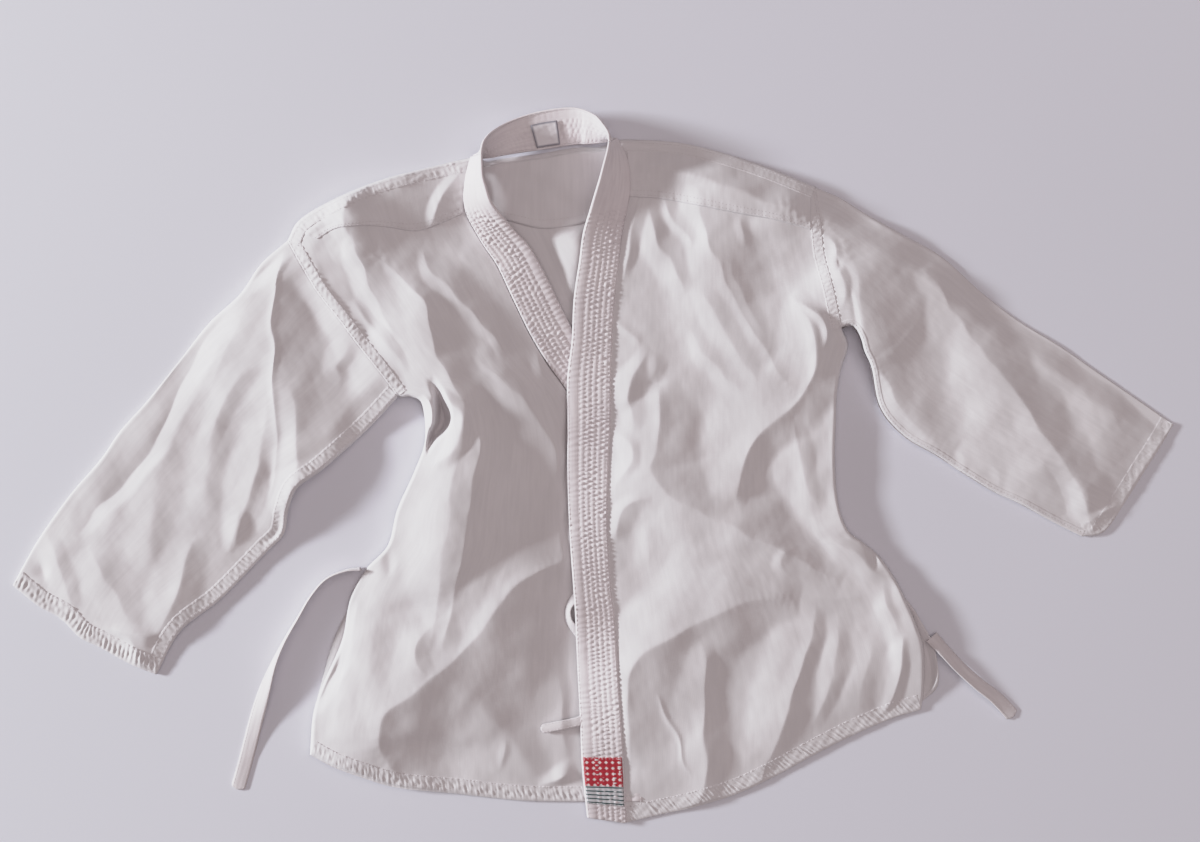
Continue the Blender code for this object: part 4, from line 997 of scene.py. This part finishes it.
# seams and hems, strips of finely puckered cloth laid on the panels:
# name: (line, from, to, height, pitch, slant, pucker, raise, rows of stitches, cells across)
seams = {
    "hem_right": ("hemRight", -0.6, 15.0, "right", 4.6, 0.45, 0.5, 0.6, [13.4], 14),
    "hem_left": ("hemLeft", -0.6, 15.5, "left", 4.4, 0.5, 0.6, 0.22, [13.8], 14),
    "cuff_right": ("cuffRight", -0.6, 17.0, "right", 5.0, 0.3, 0.6, 0.6, [15.0], 14),
    "cuff_left": ("cuffLeft", -15.0, 0.6, "left", 5.2, 0.3, 0.35, 0.12, [], 14),
    "armhole_right": ("armholeRight", -1.5, 11.0, "right", 5.2, 0.2, 0.5, 0.5, [1.0, 9.0], 12),
    "armhole_left": ("armholeLeft", -11.0, 1.0, "left", 4.6, 0.2, 0.35, 0.45, [-9.0, -1.5], 12),
    "shoulder_right": ("shoulderRight", -13.0, 0.3, "right", 5.2, 0.2, 0.5, 1.0, [-11.0, -3.0], 12),
    "shoulder_left": ("shoulderLeft", -12.0, 0.3, "left", 5.8, 0.2, 0.1, 1.0, [-10.0, -3.0], 12),
    "underarm_right": ("armUnderRight", -15.0, 0.6, "right", 5.6, 0.25, 0.4, 0.5, [-13.0, -3.0], 12),
    "underarm_left": ("armUnderLeft", -0.6, 7.0, "left", 6.4, 0.25, 0.1, 0.3, [3.5], 8),
}
seamForm = {
    "cell": 0.95,  # the length of a cell along a seam
    "sides": 0.55,  # the height of its sides and what its middle adds, of what it is raised
    "middle": 0.45,
    "dip": 0.5,
    "puckers": 0.45,  # the share of regular waves over the seam, and of uneven ones
    "crumples": 0.75,
}


def makeSeam(name, settings, seed):
    line, start, end, half, pitch, slant, pucker, lift, rowsAt, count = settings
    length = lengthOf(outline[line])
    shares = cells(int(length / seamForm["cell"]))
    middle = along(outline[line], shares)
    sides = np.linspace(start, end, count + 1)
    plan = np.stack([beside(middle, side) for side in sides], axis=1)
    across = channelsOf([start] + sorted(rowsAt) + [end], sides)[2]
    run = shares[:, None] * length + sides[None] * slant
    body = np.sin(math.pi * across) ** 0.6
    crumples = ripples(run, sides[None] * 0.55, pitch * 0.95, seed + 3)
    uneven = seamForm["puckers"] * puckers(run, pitch, seed) + seamForm["crumples"] * crumples
    up = heights[half](plan[..., 0], plan[..., 1]) + sheet["cloth"]
    up = up + lift * (seamForm["sides"] + seamForm["middle"] * body)
    up = up + pucker * uneven * np.sin(math.pi * across) ** 0.7
    up[:, [0, -1]] -= lift * 0.5 + seamForm["dip"]  # the long edges dip into the cloth
    points = placed(plan[..., 0], plan[..., 1], up)
    if facing(points)[..., 2].mean() < 0:
        points, sides = points[:, ::-1], sides[::-1]
    cloth(f"{name}_seam", None, points, canvas, ((end - start) * mm, length * mm), 0)
    return half, linesAt(points, *((slice(None), abs(sides - at).argmin()) for at in rowsAt))


# each tie's stations: (across, down, off what it lies on, turned by degrees)
ties = {
    "tie_side_right": {"width": 14.0, "on": "floor", "stations": [
        (361, 569.5, 1, 78), (345, 571.5, 0.6, 84), (326, 580, 0.3, 86), (311, 597, 0.3, 86),
        (298, 619, 0.3, 84), (284, 643, 0.3, 80), (273, 667, 0.3, 66), (264, 694, 0.2, 36),
        (256, 722, 0.1, 12), (247, 757, 0, 0), (238, 789, 0, 0)]},
    "tie_side_left": {"width": 14.0, "on": "floor", "stations": [
        (931, 637, 2.2, -14), (944, 651, 1.4, -32), (960, 668, 0.8, -34), (978, 684, 0.4, -30),
        (997, 699, 0.2, -20), (1013, 716, 0, 0)]},
    "tie_front": {"width": 9.0, "on": "right front", "stations": [
        (589, 585, 0.7, 0), (577, 596, 0.7, 18), (570, 606, 0.7, 50), (568.5, 614, 0.7, 55),
        (571, 623, 0.7, 50), (579, 633, 0.7, 18), (588, 646, 0.7, 0), (588.5, 700, 1.5, 0),
        (583, 718, 5.5, 0), (571, 723, 5.2, 0), (556, 726, 3.6, 0), (541, 729, 1.4, 0)]},
}
tapes = {
    "thickness": 1.6,
    "shell": 1.2,
    "cells": (8, 150),
    "endRound": 3.5,
    "endNarrowest": 0.08,
    "edges": [(0.6, 0.9, 0.35), (0.9, 1.1, 0.3)],  # thinner between shares of the half width, by so much
}


def makeTie(name, settings):
    shares = cells(tapes["cells"][1])
    across, down, off, tilt = along(settings["stations"], shares).T
    run = runOf(np.stack([across, down], axis=-1))
    sides = np.linspace(-1.0, 1.0, tapes["cells"][0] + 1)
    length = lengthOf(settings["stations"])
    toEnd = np.clip((1 - shares) * length / tapes["endRound"], 0, 1)
    ends = np.sqrt(np.clip(1 - (1 - toEnd) ** 2, tapes["endNarrowest"], 1))
    half = (settings["width"] / 2 * sides)[None] * ends[:, None]
    level, rise = np.cos(np.radians(tilt))[:, None] * half, np.sin(np.radians(tilt))[:, None] * half
    across = across[:, None] + run[:, 1:] * level
    down = down[:, None] - run[:, :1] * level
    on = 0.0 if settings["on"] == "floor" else rightHeight(across, down) + sheet["cloth"]
    points = placed(across, down, off[:, None] + rise - rise.min(axis=1)[:, None] + on)
    outwards = facing(points)
    sign = 1.0 if outwards[..., 2].mean() > 0 else -1.0
    thick = np.full(len(sides), tapes["thickness"])
    for start, end, thinner in tapes["edges"]:
        thick -= thinner * (abs(sides) > start) * (abs(sides) < end)
    points = points + sign * outwards * thick[None, :, None] * mm
    cloth(f"{name}_tape", name, points if sign > 0 else points[:, ::-1], tape,
          (settings["width"] * mm, length * mm), tapes["shell"])
    return [(points[:, column], sign * outwards[:, column]) for column in (1, -2)]


# where each label lies: shares of the band's length, distances from its seam, and how far off its inner side
labels = {
    "lapel_label": {"lengthwise": (0.024, 0.096), "fromSeam": (2.5, 40.0), "cells": (30, 40), "off": 3.3,
                    "relief": 0.5},  # of the quilting under it
    "neck_label": {"lengthwise": (0.385, 0.545), "fromSeam": (3.0, 29.0), "cells": (24, 20), "off": 1.3,
                   "uneven": (0.25, 9.0, 300)},  # how high and how long its waves are, over this length
}
labelShell = 0.6


def makeLabel(name, stations, outside, material):
    settings = labels[name]
    shares = np.linspace(*settings["lengthwise"], settings["cells"][1] + 1)
    fromSeam = np.linspace(*settings["fromSeam"], settings["cells"][0] + 1)
    points = bandPoints(stations, shares, fromSeam, leftHeight)
    if outside:
        uneven = quiltRelief(fromSeam, shares * lengthOf(stations), 5) * settings["relief"]
        points = points + facing(points) * (settings["off"] + uneven[..., None]) * mm
    else:
        rise, length, spread = settings["uneven"]
        uneven = rise * ripples(shares[:, None] * spread, fromSeam[None], length, 51)
        points = (points - facing(points) * (settings["off"] + uneven[..., None]) * mm)[:, ::-1]
    cloth(f"{name}_woven", name, points, material, (1.0, 1.0), labelShell)
    return linesAt(points, 1, -2, np.s_[:, 1], np.s_[:, -2])


o = outline
sideRight = o["armholeRight"] + o["sideRight"][1:]
sideLeft = o["armholeLeft"] + o["sideLeft"][1:]
underBand = {"right": -0.3, "left": -1.6}  # how far a front's edge lies from the band's seam
rowsOn = {}  # the stitches on each half
rowsOn["right"] = makeFront(
    "right", o["shoulderRight"], o["hemRight"], lambda rows: along(sideRight, rows),
    lambda rows: beside(along(lapelRight, rows), underBand["right"]), rightFolds, o["yokeLowerRight"])
rowsOn["left"] = makeFront(
    "left", o["shoulderLeft"], o["hemLeft"],
    lambda rows: beside(along(lapelLeft[::-1], rows), underBand["left"]),
    lambda rows: along(sideLeft, rows), leftFolds, o["yokeLowerLeft"])
print("fronts and yokes made")
makeSleeve("sleeve_right", o["armholeRight"], o["cuffRight"], o["armOuterRight"], o["armUnderRight"],
           rightFolds, rightHeight, (0.33, 0.42))
makeSleeve("sleeve_left", o["armholeLeft"][::-1], o["cuffLeft"][::-1], o["armUnderLeft"], o["armOuterLeft"],
           leftFolds, leftHeight, (0.30, 0.42))
print("sleeves made")
makeBack()
rowsBehind = makeBackYoke()
print("back made")
rowsOn["left"] += makeBand("lapel_left", lapelLeft, leftHeight, 100)
rowsOn["right"] += makeBand("lapel_right", lapelRight, rightHeight, 200)
rowsBehind = makeBand("collar_back", collarBack, leftHeight, 300, plain=True) + rowsBehind
print("band made")
seamRows = [makeSeam(name, settings, 400 + 10 * number)
            for number, (name, settings) in enumerate(seams.items())]
print("seams made")
tieRows = sum((makeTie(name, settings) for name, settings in ties.items()), [])
makeLabel("neck_label", collarBack, False, labelTape)
rowsOn["left"] += makeLabel("lapel_label", lapelLeft, True, labelWeave)
print("ties and labels made")
for half, rows in seamRows:
    rowsOn[half] += rows
for name, rows in (*rowsOn.items(), ("collar", rowsBehind), ("ties", tieRows)):
    stitches(f"stitches_{name}", rows)
print("stitches made")

stage = {
    "floor": 3.0,  # half its width, in metres
    "lights": {  # a low window, and the ceiling that it lights: (place, size, power, colour)
        "window": ((-5.15, 0.75, 1.36), (1.2, 0.46), 412.0, (0.89, 0.965, 1.0)),
        "ceiling": ((0.5, 0.3, 3.2), (4.0, 4.0), 44.0, (1.0, 0.9, 0.9)),
    },
    "fill": (1.0, 0.88, 0.88),
    "fillPower": 0.207,
    "sensor": 36.0,
    "brightest": 2.0,  # the light at the end of the picture's curve, and how light is shown: (light, shown)
    "curveEnds": [(0.0, 0.0), (2.0, 0.93)],
    "curveBetween": [(0.5, 0.5), (0.64, 0.63), (0.76, 0.71), (0.9, 0.77), (1.1, 0.82), (1.5, 0.88)],
}
floorShape = bmesh.new()
bmesh.ops.create_grid(floorShape, x_segments=1, y_segments=1, size=stage["floor"])
floorMesh = bpy.data.meshes.new("floor")
floorShape.to_mesh(floorMesh)
floorShape.free()
linked("floor", floorMesh, board)

for name, (place, size, power, colour) in stage["lights"].items():
    light = bpy.data.lights.new(name, "AREA")
    light.shape = "RECTANGLE"
    light.size, light.size_y = size
    light.energy = power
    light.color = colour
    lamp = bpy.data.objects.new(name, light)
    lamp.location = place
    lamp.rotation_euler = (-Vector(place)).to_track_quat("-Z", "Y").to_euler()
    bpy.context.scene.collection.objects.link(lamp)
world = bpy.data.worlds.new("fill")
world.use_nodes = True
world.node_tree.nodes["Background"].inputs["Color"].default_value = (*stage["fill"], 1.0)
world.node_tree.nodes["Background"].inputs["Strength"].default_value = stage["fillPower"]
bpy.context.scene.world = world

camera = bpy.data.cameras.new("camera")
camera.sensor_width = stage["sensor"]
camera.lens = stage["sensor"] * sheet["viewHeight"] / sheet["width"]
viewer = bpy.data.objects.new("camera", camera)
viewer.location = (0.0, 0.0, sheet["viewHeight"] * mm)
bpy.context.scene.collection.objects.link(viewer)
bpy.context.scene.camera = viewer
view = bpy.context.scene.view_settings
view.view_transform = "Standard"
view.use_curve_mapping = True
view.curve_mapping.white_level = (stage["brightest"],) * 3
curve = view.curve_mapping.curves[3].points
for place, (bright, shown) in enumerate(stage["curveEnds"]):
    curve[place].location = (bright / stage["brightest"], shown)
for bright, shown in stage["curveBetween"]:
    curve.new(bright / stage["brightest"], shown)
view.curve_mapping.update()
print("floor, light and camera made")
